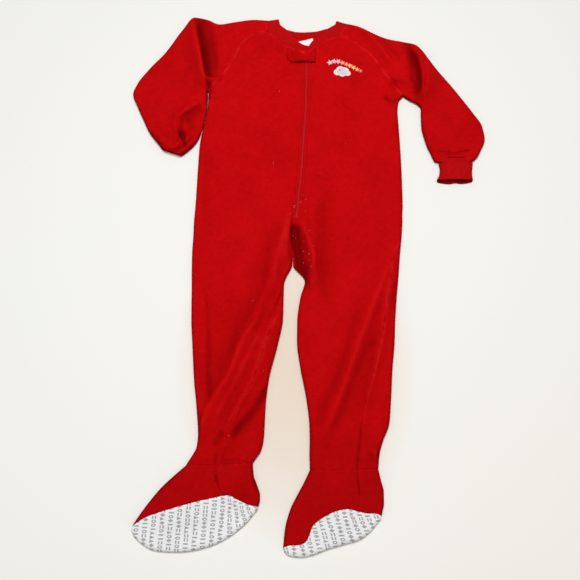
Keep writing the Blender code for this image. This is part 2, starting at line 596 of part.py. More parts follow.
def band_rows(front, arm, back, off):
    """The neck edges of a front, a sleeve and a back as they meet the band, with how far round each point is."""
    f = columns(FRONT_CORNER, EDGES, ALONG, OVER, False)
    f = f[f >= FRONT_CORNER - 1e-9][::-1].copy()
    f[0] = front.seam(0.0, 1.0, -1)
    a = columns(SLEEVE_CORNER, EDGES, ALONG, NECK, True)
    a = a[a >= SLEEVE_CORNER - 1e-9]
    b = columns(BACK_CORNER, EDGES, ALONG_LOW, OVER, False)
    b = b[b >= BACK_CORNER - 1e-9].copy()
    b[-1] = 2 - back.seam(0.0, 1.0, 1)
    spans = ((front, f, (1 - f) / (1 - FRONT_CORNER)), (arm, a[1:], 1 + (a[1:] - SLEEVE_CORNER) / (1 - SLEEVE_CORNER)),
             (arm, 2 - a[:-1][::-1], 2 + (1 - a[:-1][::-1]) / (1 - SLEEVE_CORNER)),
             (back, 2 - b[1:], 3 + (b[1:] - BACK_CORNER) / (1 - BACK_CORNER)))
    return (np.vstack([limb.point(0.0, t, off) for limb, t, _ in spans]),
            np.concatenate([at for _, _, at in spans]))


def band_side(front, arm, rows, off):
    points, at = band_rows(front, arm, front, off)
    knots = rows["stretch"] + rows["share"]
    across = np.stack([smooth(knots, rows["across_x"], at), smooth(knots, rows["across_y"], at)], 1)
    return points, across


def band(limbs, count=3):
    sides = []
    for off in (HALF, -HALF):
        one, across_one = band_side(limbs["body_right"], limbs["sleeve_right"], BAND, off)
        two, across_two = band_side(limbs["body_left"], limbs["sleeve_left"], BAND_OTHER, off)
        points = np.vstack([one, two[::-1][1:]])
        across = np.vstack([across_one, across_two[::-1][1:]])
        unit = across / np.linalg.norm(across, axis=1)[:, None]
        grid = np.repeat(points[:, None], count, axis=1)
        for j in range(count):
            grid[:, j, :2] += unit * BAND_GAP + across * j / (count - 1)
        sides.append(grid)
    return shell("neck_band", *sides, "rib_red")


class Sole:
    """The sole's fabric: from the seam with the foot's upper, out to the fold edge and back below."""

    ROUND = 0.4

    def __init__(self, limb, edge):
        self.limb, self.edge, self.end = limb, Line(edge), limb.count - 1.0

    def point(self, t, v, off):
        t, v = np.broadcast_arrays(np.asarray(t, float), np.asarray(v, float))
        limb, upper = self.limb, v <= 1
        seam = limb.point(self.end, np.where(upper, t, 2 - t), off)
        middle = limb.point(self.end, t, 0.0)
        line = limb.end[0]
        share = limb.distance(t, line.length, limb.half + limb.roll, limb.roll, 0.0, 1.0) / line.length
        out = self.edge.at(share)
        away = np.linalg.norm(out - seam[..., :2], axis=-1)
        unit = (out - seam[..., :2]) / away[..., None]
        roll = np.minimum(np.where(upper, ROLL, ROLL_LOW), 0.8 * away - HALF - 0.3)
        b = np.where(upper, 1 - v, v - 1)
        angle = np.clip(b / self.ROUND, 0, 1) * np.pi / 2
        near = HALF + roll - (roll + off) * np.cos(angle)
        far = HALF + roll + (away - GAP - HALF - roll) * np.clip((b - self.ROUND) / (1 - self.ROUND), 0, 1)
        plan = out - unit * np.where(b < self.ROUND, near, far)[..., None]
        x, y = plan[..., 0], plan[..., 1]
        corner = np.clip((middle[..., 2] - FOLD) / (rise(middle[..., 0], middle[..., 1]) - FOLD), 0, 1)
        high = SOLE_END + np.maximum(rise(x, y) - FOLD - SOLE_END, 0) * corner + off
        z = FOLD + np.where(upper, high, LOW - off - FOLD) * np.sin(angle)
        return np.stack([x, y, z], -1)


def foot_pieces(word, rows, limb, edge, names, stations):
    seam = smooth(np.arange(limb.count), rows["seam_t"], stations)
    back = smooth(np.arange(limb.count), rows["back_t"], stations)
    one = spread(limb.seam(stations, back, 1), limb.seam(stations, seam, -1), FOOT_COLUMNS_COUNT)
    two = spread(limb.seam(stations, seam, 1), limb.seam(stations, back + 2, -1), FOOT_COLUMNS_COUNT)
    wall(names[0] + "_" + word, limb, stations, one, "fleece_red")
    wall(names[1] + "_" + word, limb, stations, two, "fleece_red")
    upper = np.concatenate([one[-1][one[-1] > 0.035], two[-1][two[-1] < 0.965]])
    t = np.concatenate([[0.03], upper, [0.97]])[:, None]
    sole = Sole(limb, edge)
    v = np.array([0, 0.6, 0.73, 0.87, 1, 1.13, 1.27, 1.4, 2.0])[None, :]
    shell("sole_" + word, sole.point(t, v, HALF), sole.point(t, v, -HALF), "sole_fabric")
    return sole


def loft(name, rings, cloth):
    """A closed bar through rings that have the same number of points."""
    n, m = rings.shape[:2]
    faces = [(i * m + j, i * m + (j + 1) % m, (i + 1) * m + (j + 1) % m, (i + 1) * m + j)
             for i in range(n - 1) for j in range(m)]
    faces += [tuple(range(m))[::-1], tuple((n - 1) * m + j for j in range(m))]
    return add(name, rings.reshape(-1, 3), faces, cloth)


def zip_tape():
    """Both tapes and the closed coil between them, under the fronts' edges."""
    line = Line(ZIP)
    rings = []
    for share in np.linspace(0, 1, 15):
        x, y = line.at(share)
        across = np.array([-TAPE_REACH, TAPE_REACH, TAPE_REACH, COIL / 2, COIL / 2, -COIL / 2, -COIL / 2, -TAPE_REACH])
        bed = rise(x + across, np.full(8, y)) - HALF - TAPE_DROP
        z = np.where([1, 1, 0, 0, 0, 0, 0, 0], bed - TAPE_WALL, bed)
        z[4:6] = float(rise(x, y)) + HALF + 0.2
        rings.append(np.stack([x + across, np.full(8, y), z], 1))
    return loft("zip_tape", np.array(rings), "zip_red")


def block(name, centre, size, bevel, cloth):
    bpy.ops.mesh.primitive_cube_add(size=1.0, location=[c / 1000 for c in np.array(centre) - MIDDLE])
    made = bpy.context.object
    made.name = made.data.name = name
    made.scale = [v / 1000 for v in size]
    bpy.ops.object.transform_apply(location=False, rotation=False, scale=True)
    made.data.materials.append(MATERIALS[cloth])
    rounded = made.modifiers.new("rounded", "BEVEL")
    rounded.width, rounded.segments = bevel / 1000, 2
    for collection in list(made.users_collection):
        collection.objects.unlink(made)
    COLLECTION.objects.link(made)
    return made


def zip_slider():
    x, y = SLIDER_AT
    deck = float(rise(x, y)) + HALF
    block("zip_slider", (x, y, deck + 0.6 + SLIDER_TALL / 2), (7.5, 11.0, SLIDER_TALL), 0.8, "zip_metal")
    block("zip_pull", (x, y + 3.0, deck + 0.9 + SLIDER_TALL + PULL_WALL / 2), (5.0, 15.0, PULL_WALL), 0.35, "zip_metal")


def zip_guard():
    """The tab over the top of the zip: sewn to the left front, bowed up over the slider."""
    u = np.linspace(0, 1, 9)[:, None]
    v = np.linspace(0, 1, 6)[None, :]
    sides = []
    for off in (GUARD_WALL / 2, -GUARD_WALL / 2):
        round_end = GUARD_END * (2 * v - 1) ** 4
        x = GUARD_LEFT + round_end + (GUARD_RIGHT - GUARD_LEFT - round_end) * u
        top = GUARD_TOP_LEFT + (GUARD_TOP_RIGHT - GUARD_TOP_LEFT) * u
        y = GUARD_FOOT + (top - GUARD_FOOT) * v
        lift = GUARD_LIFT * np.exp(-(((x - SLIDER_AT[0] + 3) / 17.0) ** 4)) * (1 - 0.25 * (2 * v - 1) ** 2)
        z = rise(x, y) + HALF + GUARD_CLEAR + GUARD_WALL / 2 + lift + off
        sides.append(np.stack(np.broadcast_arrays(x, y, z), -1))
    return shell("zip_guard", *sides, "fleece_red")


def neck_label():
    corners = np.array(LABEL)
    u, v = np.linspace(0, 1, 4)[:, None, None], np.linspace(0, 1, 3)[None, :, None]
    plan = (corners[0] * (1 - u) + corners[1] * u) * (1 - v) + (corners[3] * (1 - u) + corners[2] * u) * v
    base = 2 * LOW + GAP + LABEL_WALL / 2
    sides = [np.concatenate([plan, np.full(plan.shape[:2] + (1,), base + off)], -1)
             for off in (LABEL_WALL / 2, -LABEL_WALL / 2)]
    return shell("neck_label", *sides, "label_white")


def below(rows, gap):
    """The two ends of a leg's last row, one gap further down."""
    a = np.array([rows["side_x"][-1], rows["side_y"][-1]])
    b = np.array([rows["centre_x"][-1], rows["centre_y"][-1]])
    down = np.array([-(b - a)[1], (b - a)[0]]) / np.linalg.norm(b - a)
    down = down if down[1] < 0 else -down
    return a + gap * down, b + gap * down


def foot(rows, legs, seam):
    first = np.stack([rows["first_x"], rows["first_y"]], 1)
    last = np.stack([rows["last_x"], rows["last_y"]], 1)
    first[0], last[0] = below(legs, GAP)
    return Limb(first, last, end=(Line(seam), None), end_fade=3.0)


def make_limbs():
    arm = lambda rows: (np.stack([rows["under_x"], rows["under_y"]], 1), np.stack([rows["over_x"], rows["over_y"]], 1))
    return {
        "body_right": body(BODY_RIGHT, -1, RAGLAN_FRONT_RIGHT, NECK_SEAM_RIGHT, RAGLAN_BACK_RIGHT, NECK_BACK_RIGHT),
        "body_left": body(BODY_LEFT, 1, RAGLAN_FRONT_LEFT, NECK_SEAM_LEFT, RAGLAN_BACK_LEFT, NECK_BACK_LEFT),
        "sleeve_right": sleeve(SLEEVE_RIGHT, -1, RAGLAN_FRONT_RIGHT, SLEEVE_NECK_RIGHT, RAGLAN_BACK_RIGHT, SLEEVE_BACKNECK_RIGHT),
        "sleeve_left": sleeve(SLEEVE_LEFT, 1, RAGLAN_FRONT_LEFT, SLEEVE_NECK_LEFT, RAGLAN_BACK_LEFT, SLEEVE_BACKNECK_LEFT),
        "cuff_left": Limb(*arm(CUFF_LEFT), half=CUFF_WALL / 2),
        "cuff_right": Limb(*arm(CUFF_RIGHT), half=CUFF_WALL / 2, low=CUFF_LOW, fold=(CUFF_LOW + CUFF_TOP) / 2,
                           top=lambda x, y: np.full(np.shape(x), CUFF_TOP), roll=3.0, roll_low=1.5),
        "foot_right": foot(FOOT_RIGHT, BODY_RIGHT, SOLE_SEAM_RIGHT),
        "foot_left": foot(FOOT_LEFT, BODY_LEFT, SOLE_SEAM_LEFT),
    }


EDGES, ALONG, ALONG_LOW, OVER, NECK = 2, 5, 3, 2, 2
FOOT_COLUMNS_COUNT = 9
BAND_GAP = 0.65
BACK_NECK_MIDDLE = (-3.0, 410.0)
SOLE_END = 1.5
TAPE_REACH, TAPE_DROP, COIL = 9.0, 0.7, 3.2
SLIDER_AT, SLIDER_TALL, PULL_WALL = (-3.1, 376.0), 2.2, 1.0
GUARD_LEFT, GUARD_RIGHT, GUARD_FOOT, GUARD_TOP_LEFT, GUARD_TOP_RIGHT = -33.0, 11.0, 367.0, 396.0, 390.0
GUARD_END, GUARD_LIFT, GUARD_CLEAR = 6.0, 4.2, 0.9
CUFF_LOW, CUFF_TOP = 3.7, 6.8

if __name__ == "__main__":
    clear()
    COLLECTION = bpy.data.collections.new("onesie_pajama")
    bpy.context.scene.collection.children.link(COLLECTION)
    material("fleece_red", (0.46, 0.004, 0.007), 0.95)
    material("rib_red", (0.40, 0.004, 0.007), 0.85)
    material("zip_red", (0.45, 0.01, 0.015), 0.5)
    material("zip_metal", (0.55, 0.02, 0.02), 0.35, 0.6)
    material("sole_fabric", (0.80, 0.80, 0.80), 0.7)
    material("label_white", (0.85, 0.85, 0.85), 0.6)

    LIMBS = make_limbs()
    body_pieces("right", BODY_RIGHT, LIMBS["body_right"],
                half_steps(len(BODY_RIGHT["side_x"]) - 1, 2, (11.5, 12.25, 12.5, 12.75, 13.5, 14.5)))
    body_pieces("left", BODY_LEFT, LIMBS["body_left"],
                half_steps(len(BODY_LEFT["side_x"]) - 1, 2, (9.2, 9.4, 9.6, 9.8, 11.5, 14.33, 14.67, 15.33, 15.67)))
    SLEEVE_STEPS = np.arange(0, len(SLEEVE_RIGHT["under_x"]), 1.0)
    sleeve_piece("right", LIMBS["sleeve_right"], SLEEVE_STEPS)
    sleeve_piece("left", LIMBS["sleeve_left"], SLEEVE_STEPS)
    cuff_piece("right", LIMBS["cuff_right"], np.array([0, 1.0, 2.0]))
    cuff_piece("left", LIMBS["cuff_left"], np.array([0, 1.0, 2.0, 3.0]))
    band(LIMBS)
    foot_pieces("right", FOOT_RIGHT, LIMBS["foot_right"], SOLE_EDGE_RIGHT, ("vamp", "heel"), np.arange(0, 6, 1.0))
    foot_pieces("left", FOOT_LEFT, LIMBS["foot_left"], SOLE_EDGE_LEFT, ("heel", "vamp"), np.arange(0, 6, 1.0))
    zip_tape()
    zip_slider()
    zip_guard()
    neck_label()
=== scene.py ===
"""The looks of the red fleece onesie pajama: every cloth piece is a thin shell on the form of its solid, with the
creases, seams, stitches, nap, rib and print that the solids leave out. Sizes are in millimetres until a mesh is made.
"""

import math

import bpy
import numpy as np
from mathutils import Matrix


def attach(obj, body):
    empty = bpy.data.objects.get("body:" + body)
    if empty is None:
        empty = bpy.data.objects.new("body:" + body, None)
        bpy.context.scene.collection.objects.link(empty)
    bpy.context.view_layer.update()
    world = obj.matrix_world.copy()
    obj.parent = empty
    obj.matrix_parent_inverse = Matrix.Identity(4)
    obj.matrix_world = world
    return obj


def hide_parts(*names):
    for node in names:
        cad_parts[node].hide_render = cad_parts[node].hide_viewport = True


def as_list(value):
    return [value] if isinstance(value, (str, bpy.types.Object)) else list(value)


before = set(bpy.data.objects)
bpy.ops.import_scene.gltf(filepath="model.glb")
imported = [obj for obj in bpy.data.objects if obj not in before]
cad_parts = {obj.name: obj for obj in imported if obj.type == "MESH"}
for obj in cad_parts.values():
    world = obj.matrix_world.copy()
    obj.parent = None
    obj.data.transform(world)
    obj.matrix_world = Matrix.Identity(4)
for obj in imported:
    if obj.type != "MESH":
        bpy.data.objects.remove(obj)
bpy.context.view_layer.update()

# ---------------------------------------------------------------- driving sizes, mm
WALL = 2.2          # fleece
HALF = WALL / 2
GAP = 0.3           # between two pieces at a seam
LOW = HALF          # height of the lower layer's middle
FOLD = 3.5          # height of the middle of a fold edge
TOP = 6.6           # height of the upper layer's middle where it lies flattest
LEAST = 4.9         # and where it sinks most
ROLL = 5.5          # how far in from the edge the upper layer is level again
ROLL_LOW = 2.3      # the same for the lower layer
ARC = 0.10          # share of t that a rounded edge takes
ZIP_HALF = 2.1      # from the zip's middle to a front's edge
ZIP_END = 113.0     # y of the zip's lower end
TAPE_WALL = 1.0
MIDDLE = np.array([-0.5, 28.6, 0.0])  # the middle of what follows, which becomes the origin
LABEL_WALL = 1.0
GUARD_WALL = 2.6
CUFF_WALL = 2.2


def table(names, rows):
    """Named columns of a table: {name: array}."""
    return {name: np.array([row[i] for row in rows], float) for i, name in enumerate(names.split())}


# ---------------------------------------------------------------- sections down each limb
# side: where the side seam is; centre: the centre line, then the inner leg; split: 0 joined, 1 a leg of its own;
# side_t, inner_t: where the front's two long seams lie round the ring
BODY_COLUMNS = "side_x side_y centre_x centre_y split side_t inner_t"
BODY_RIGHT = table(BODY_COLUMNS, (
    (-158, 318, -3, 377.5, 0, 0, 1),
    (-158.5, 303, -3, 341.5, 0, 0, 1),
    (-161.5, 279.5, -3.5, 304.5, 0, 0, 1),
    (-166.5, 254.5, -5.5, 268, 0, 0, 1),
    (-170.5, 231.5, -8.5, 228.5, 0, 0, 1),
    (-173, 186, -11.5, 186, 0, 0, 1),
    (-175, 137.5, -16.5, 137.5, 0, 0, 1),
    (-176.5, 116, -19.5, 116, 0, 0, 1),
    (-177, 109.5, -20, 109.5, 0, 0, 1),
    (-177.5, 86.5, -22, 86.5, 0, 0, 1),
    (-179, 55, -24, 58, 0, 0, 1),
    (-179, 33, -25, 38, 1, 0, 1),
    (-178.5, 7, -37.5, 7, 1, 0, 0.97),
    (-178, -44, -39.5, -44, 1, 0, 0.86),
    (-175.5, -86, -47, -83, 1, -0.05, 0.81),
    (-172, -137, -60.5, -137, 1, -0.12, 0.77),
    (-168, -172.5, -65, -175, 1, -0.25, 0.62),
    (-164.5, -216, -67.5, -222, 1, -0.38, 0.43),
    (-166, -233.5, -71, -239, 1, -0.41, 0.45),
    (-181.5, -261.5, -83.5, -258, 1, -0.42, 0.495),
))
BODY_LEFT = table(BODY_COLUMNS, (
    (150, 310.5, -3, 377.5, 0, 0, 1),
    (143, 301.5, -3, 341.5, 0, 0, 1),
    (141, 284.5, -3.5, 304.5, 0, 0, 1),
    (142, 264.5, -5.5, 268, 0, 0, 1),
    (143.5, 233, -8.5, 228.5, 0, 0, 1),
    (145, 186, -11.5, 186, 0, 0, 1),
    (145.5, 137.5, -16.5, 137.5, 0, 0, 1),
    (144.5, 116, -19.5, 116, 0, 0, 1),
    (144.5, 109.5, -20, 109.5, 0, 0, 1),
    (143, 86.5, -22, 86.5, 0, 0.02, 1),
    (139.5, 55, -24, 58, 0, 0.12, 1),
    (137.5, 33, -25, 38, 1, 0.13, 1),
    (135.5, 11.5, -7, 13, 1, 0.135, 1),
    (133, -11.5, -13, -11.5, 1, 0.145, 1.02),
    (130, -47, -18, -47, 1, 0.16, 1.05),
    (128, -83, -18.5, -80, 1, 0.195, 1.12),
    (124, -122, -13.5, -119, 1, 0.235, 1.18),
    (121, -166.5, -4.5, -166.5, 1, 0.325, 1.26),
    (117.5, -201.5, -0.5, -201.5, 1, 0.365, 1.3),
    (108.5, -224.5, 0, -224.5, 1, 0.337, 1.31),
    (102.5, -245, -0.5, -245, 1, 0.317, 1.32),
    (100, -266.5, 0, -268, 1, 0.33, 1.32),
))
# under: the underarm seam; over: the fold along the top of the arm
SLEEVE_COLUMNS = "under_x under_y over_x over_y"
SLEEVE_RIGHT = table(SLEEVE_COLUMNS, (
    (-159, 319, -63, 440.5),
    (-159, 319, -87, 442),
    (-159, 319, -117.5, 438),
    (-159, 319, -142, 434),
    (-159, 319, -163, 442.5),
    (-159, 319, -182.5, 446),
    (-159, 319, -203, 422.5),
    (-159.5, 317.5, -229, 384.5),
    (-160, 310.5, -251.5, 359.5),
    (-161, 301.5, -272, 331.5),
    (-163.5, 288, -278, 314.5),
    (-167.5, 269.5, -270, 293),
    (-173, 251.5, -260, 271),
    (-180.5, 237.5, -250, 253),
    (-191, 227, -241, 242.5),
    (-201.5, 220.5, -232.5, 234),
))
SLEEVE_LEFT = table(SLEEVE_COLUMNS, (
    (150.5, 311.5, 60.5, 435.5),
    (152.5, 309.5, 77.5, 431.5),
    (155, 308, 99.5, 420.5),
    (158, 305.5, 128.5, 408.5),
    (165.5, 301.5, 154, 403.5),
    (173.5, 296.5, 170, 398),
    (178, 290, 188.5, 374),
    (178.5, 282, 207, 350),
    (179, 271, 225, 328),
    (180, 256.5, 243.5, 304.5),
    (183.5, 241.5, 260, 283),
    (187.5, 226.5, 273.5, 261.5),
    (191, 216, 277, 240),
    (194, 208.5, 270, 221.5),
    (197, 203, 264, 210),
    (205, 201, 254.5, 201.5),
))
CUFF_RIGHT = table(SLEEVE_COLUMNS, (
    (-206, 220, -229.5, 230.5),
    (-202.5, 227, -227, 237.5),
    (-199, 234, -224, 245),
))
CUFF_LEFT = table(SLEEVE_COLUMNS, (
    (205, 200.5, 254.5, 201),
    (204, 192.5, 254.5, 192.5),
    (201, 181.5, 254.5, 181.5),
    (199, 172, 254.5, 172.5),
))
# first: the fold edge where t is 0; last: where t is 1; seam_t, back_t: the two seams between vamp and heel
FOOT_COLUMNS = "first_x first_y last_x last_y seam_t back_t"
FOOT_RIGHT = table(FOOT_COLUMNS, (
    (-182.5, -263, -83, -260, 0.495, -0.42),
    (-199.5, -277, -82, -275, 0.53, -0.4),
    (-217.5, -294, -76.5, -290.5, 0.59, -0.37),
    (-233, -312.5, -72.5, -304, 0.64, -0.34),
    (-248, -333, -73, -313, 0.69, -0.31),
    (-257.5, -347.5, -75, -319.5, 0.71, -0.3),
))
FOOT_LEFT = table(FOOT_COLUMNS, (
    (100.5, -268.5, 0, -270, 0.33, -0.68),
    (104, -283.5, -9, -286.5, 0.32, -0.7),
    (107.5, -299, -19, -304.5, 0.31, -0.72),
    (107.5, -314.5, -28.5, -323.5, 0.29, -0.74),
    (105.5, -325, -36, -349.5, 0.26, -0.76),
    (103.5, -333, -39, -376.5, 0.24, -0.76),
))

# ---------------------------------------------------------------- seam lines, (x, y)
RAGLAN_FRONT_RIGHT = ((-158.5, 319), (-151.5, 328), (-137.5, 344.5), (-123, 364), (-115.5, 379),
                      (-107.5, 396.5), (-95, 410), (-79, 419), (-65.5, 420.5))
NECK_SEAM_RIGHT = ((-65.5, 420.5), (-51.5, 410), (-38.5, 400), (-26, 388.5), (-3, 377.5))
RAGLAN_FRONT_LEFT = ((150.5, 311), (139.5, 324), (126, 341.5), (111.5, 364),
                     (96, 384.5), (82.5, 394.5), (67.5, 407.5), (48, 412.5))
NECK_SEAM_LEFT = ((48, 412.5), (29, 405), (12.5, 394.5), (4, 384.5), (-3, 377.5))
SLEEVE_NECK_RIGHT = ((-65.5, 420.5), (-65, 430), (-63, 440.5))
SLEEVE_NECK_LEFT = ((48, 412.5), (56.5, 424), (60.5, 435.5))
RAGLAN_BACK_RIGHT = ((-158.5, 319), (-128, 352), (-93, 384.5), (-61, 408.5), (-43.5, 418.5))
RAGLAN_BACK_LEFT = ((150.5, 311), (122.5, 345), (89.5, 379), (61, 403.5), (40, 418.5))
NECK_BACK_RIGHT = ((-43.5, 418.5), (-24, 412), (-3, 410))
NECK_BACK_LEFT = ((40, 418.5), (17.5, 412), (-3, 410))
SLEEVE_BACKNECK_RIGHT = ((-43.5, 418.5), (-56.5, 430), (-63, 440.5))
SLEEVE_BACKNECK_LEFT = ((40, 418.5), (53, 427.5), (60.5, 435.5))
SOLE_SEAM_RIGHT = ((-257.5, -347.5), (-238.5, -335), (-217, -327), (-174, -314.5), (-141, -307),
                   (-117.5, -303.5), (-106, -309), (-88.5, -317), (-75, -319.5))
SOLE_EDGE_RIGHT = ((-258.5, -351.5), (-254.5, -360.5), (-246, -369), (-228.5, -379.5), (-201, -383), (-172.5, -381.5),
                   (-137, -372.5), (-108.5, -356.5), (-91, -341.5), (-79.5, -328), (-75, -323))
SOLE_SEAM_LEFT = ((103.5, -333), (95.5, -329), (84, -329), (69.5, -326), (55, -322.5), (36, -326), (17.5, -335.5),
                  (4, -346.5), (-1, -359), (-6.5, -369), (-16, -373), (-29, -373.5), (-39, -376.5))
SOLE_EDGE_LEFT = ((103.5, -336), (99, -341), (89, -353), (71.5, -366), (53, -371.5),
                  (28.5, -378), (-0.5, -388.5), (-19, -390), (-32, -387), (-38.5, -381))
ZIP = ((-3, 389.5), (-3, 341.5), (-3.5, 304.5), (-5.5, 268),
       (-8.5, 228.5), (-11.5, 186), (-16.5, 137.5), (-18.5, 118))
LABEL = ((-18, 403.5), (7.5, 410), (12.5, 382.5), (-12, 376))

# from the neck seam to the band's free edge, by quarter of each stretch
BAND_COLUMNS = "stretch share across_x across_y"
BAND = table(BAND_COLUMNS, (
    (0, 0.0, -0.4, 17.0), (0, 0.4, 10.0, 13.0), (0, 0.7, 13.0, 12.0), (0, 1.0, 20.0, 9.0),
    (1, 0.5, 17.0, 6.0), (1, 1.0, 14.5, 1.5), (2, 0.5, 12.0, 3.5), (2, 1.0, 8.5, 7.0),
    (3, 0.5, 3.5, 10.0), (3, 1.0, 0.0, 11.0),
))
BAND_OTHER = table(BAND_COLUMNS, (
    (0, 0.0, 2.6, 16.0), (0, 0.4, -4.5, 8.5), (0, 0.7, -8.0, 7.5), (0, 1.0, -11.0, 9.0),
    (1, 0.5, -11.0, 8.0), (1, 1.0, -14.5, 2.5), (2, 0.5, -10.5, 5.5), (2, 1.0, -7.5, 9.0),
    (3, 0.5, -2.5, 10.5), (3, 1.0, 0.0, 11.0),
))

# ---------------------------------------------------------------- how the upper layer rises and falls
# x, y, half width, half length, turn in degrees, height
SWELLS = table("x y wide long turn height", (
    (-15, 235, 150, 185, 0, 2.0),
    (-118, -60, 70, 200, -8, 2.6),
    (62, -70, 78, 215, 6, 3.2),
    (-125, 392, 60, 48, 20, 1.8),
    (-222, 318, 58, 66, 30, 3.2),
    (-212, 240, 44, 46, 0, 4.6),
    (150, 362, 60, 48, 0, 2.0),
    (228, 262, 46, 66, -30, 3.0),
    (-165, -305, 90, 52, 25, 4.4),
    (-100, -290, 45, 45, 0, 2.5),
    (45, -315, 66, 72, 20, 4.6),
    (226, 186, 34, 24, 0, 2.4),
))
# name, the line it runs along, height, reach to one side, reach to the other
FOLDS = (
    ("leg_right_long", ((-34, 121), (-64, 13), (-88, -62), (-130, -155), (-175, -252)), 4, 16, 9),
    ("leg_right_inseam", ((-41, -16), (-56, -56), (-75, -122), (-103, -171), (-133, -256)), 3, 8, 8),
    ("leg_right_hollow", ((-62, -146), (-79, -183), (-100, -212), (-115, -242)), -2.6, 9, 9),
    ("leg_right_side", ((-160, -54), (-154, -122), (-149, -187)), -2, 8, 8),
    ("leg_left_long", ((131, 80), (103, -10), (57, -132), (28, -203), (6, -256)), 4.5, 18, 9),
    ("leg_left_hollow", ((105, -50), (86, -122), (64, -181), (46, -219)), -2.6, 10, 10),
    ("leg_left_side_seam", ((129, 68), (114, -38), (96, -122), (81, -177), (69, -268)), 2.5, 7, 7),
    ("belly_hollow", ((25, 173), (28, 109), (31, 47)), -1.5, 10, 14),
    ("belly_ridge", ((5, 187), (35, 174)), 1.2, 5, 6),
    ("crotch_ridge", ((-17, 118), (-3, 82), (8, 52), (8, 18), (1, -13)), 3.4, 7, 9),
    ("crotch_hollow", ((-23, 106), (-22, 69), (-23, 43), (-14, 21)), -3.6, 4, 8),
    ("sleeve_right_bend", ((-184, 441), (-173, 381), (-166, 349), (-162, 315)), 5.5, 16, 5.5),
    ("sleeve_right_bend_hollow", ((-163, 434), (-156, 390), (-152, 349), (-155, 330)), -2, 6, 9),
    ("sleeve_right_tuck", ((-164, 337), (-136, 340)), 1.5, 5, 5),
    ("sleeve_right_lower", ((-165, 305), (-201, 275), (-207, 256), (-205, 228)), 3, 8, 6),
    ("sleeve_right_pucker", ((-196, 258), (-195, 236)), -1.8, 5, 5),
    ("sleeve_left_bend", ((165, 398), (180, 371), (180, 296)), 4, 6, 16),
    ("sleeve_left_bend_hollow", ((170, 390), (167, 347), (171, 306)), -2, 7, 5),
    ("shoulder_left", ((68, 427), (93, 421), (117, 393), (134, 359)), 1.6, 9, 9),
    ("underarm_left", ((125, 342), (151, 338), (173, 321), (177, 298)), 2.4, 6, 6),
    ("underarm_left_hollow", ((130, 335), (139, 320), (147, 311)), -2.4, 6, 6),
    ("neck_crease_outer", ((-80, 402), (-53, 386)), 1.2, 5, 5),
    ("neck_crease_inner", ((-56, 395), (-35, 402)), 1, 4, 4),
    ("ankle_left_wrinkle", ((90, -222), (97, -239), (94, -258)), 1.6, 5, 5),
    ("ankle_right_heel", ((-130, -251), (-102, -250), (-86, -255)), 1.6, 5, 5),
    ("zip_stand", ((-3, 369), (-3, 305), (-9, 228), (-17, 137), (-20, 106)), 1, 8, 8),
)


def smooth(knots, values, x):
    """Values between knots without overshoot."""
    knots, values, x = np.asarray(knots, float), np.asarray(values, float), np.asarray(x, float)
    step = np.diff(knots)
    slope = np.diff(values) / step
    tangent = np.empty_like(values)
    tangent[0], tangent[-1] = slope[0], slope[-1]
    a, b = slope[:-1], slope[1:]
    safe = a * b > 0
    wa, wb = 2 * step[1:] + step[:-1], step[1:] + 2 * step[:-1]
    tangent[1:-1] = np.where(safe, (wa + wb) / (wa / np.where(safe, a, 1) + wb / np.where(safe, b, 1)), 0)
    i = np.clip(np.searchsorted(knots, x, side="right") - 1, 0, len(step) - 1)
    h, u = step[i], (x - knots[i]) / step[i]
    return ((2 * u**3 - 3 * u**2 + 1) * values[i] + (u**3 - 2 * u**2 + u) * h * tangent[i]
            + (3 * u**2 - 2 * u**3) * values[i + 1] + (u**3 - u**2) * h * tangent[i + 1])


def line_through(points, count=160):
    """A smooth line through points, at even steps along it."""
    points = np.asarray(points, float)
    if len(points) > 2:
        reach = np.r_[0, np.cumsum(np.sqrt(np.linalg.norm(np.diff(points, axis=0), axis=1)))]
        fine = np.linspace(0, reach[-1], 400)
        ends = np.vstack([2 * points[0] - points[1], points, 2 * points[-1] - points[-2]])
        knots = np.r_[reach[0] - (reach[1] - reach[0]), reach, 2 * reach[-1] - reach[-2]]
        out = []
        for value in fine:
            i = int(np.clip(np.searchsorted(knots, value, side="right") - 1, 1, len(knots) - 3))
            p, k = ends[i - 1:i + 3], knots[i - 1:i + 3]
            a = [(k[j + 1] - value) / (k[j + 1] - k[j]) * p[j] + (value - k[j]) / (k[j + 1] - k[j]) * p[j + 1] for j in range(3)]
            b = [(k[j + 2] - value) / (k[j + 2] - k[j]) * a[j] + (value - k[j]) / (k[j + 2] - k[j]) * a[j + 1] for j in range(2)]
            out.append((k[2] - value) / (k[2] - k[1]) * b[0] + (value - k[1]) / (k[2] - k[1]) * b[1])
        points = np.array(out)
    run = np.r_[0, np.cumsum(np.linalg.norm(np.diff(points, axis=0), axis=1))]
    even = np.linspace(0, run[-1], count)
    return np.stack([np.interp(even, run, points[:, k]) for k in (0, 1)], 1)


class Line:
    """A seam line, read by its share from 0 to 1; corner is the share where its second stretch begins."""

    def __init__(self, *stretches, move=0.0):
        parts = [line_through(p) for p in stretches]
        if move:
            moved = []
            for part in parts:
                along = np.gradient(part, axis=0)
                along /= np.linalg.norm(along, axis=1)[:, None]
                moved.append(part + move * np.stack([along[:, 1], -along[:, 0]], 1))
            parts = moved
        lengths = [np.linalg.norm(np.diff(p, axis=0), axis=1).sum() for p in parts]
        self.points = np.vstack(parts)
        run = np.r_[0, np.cumsum(np.linalg.norm(np.diff(self.points, axis=0), axis=1))]
        self.length = run[-1]
        self.run = run / run[-1]
        self.corner = lengths[0] if len(parts) > 1 else None

    def at(self, share):
        return np.stack([np.interp(share, self.run, self.points[:, k]) for k in (0, 1)], -1)


FOLD_LINES = [(line_through(points, 40), height, one, other) for _, points, height, one, other in FOLDS]


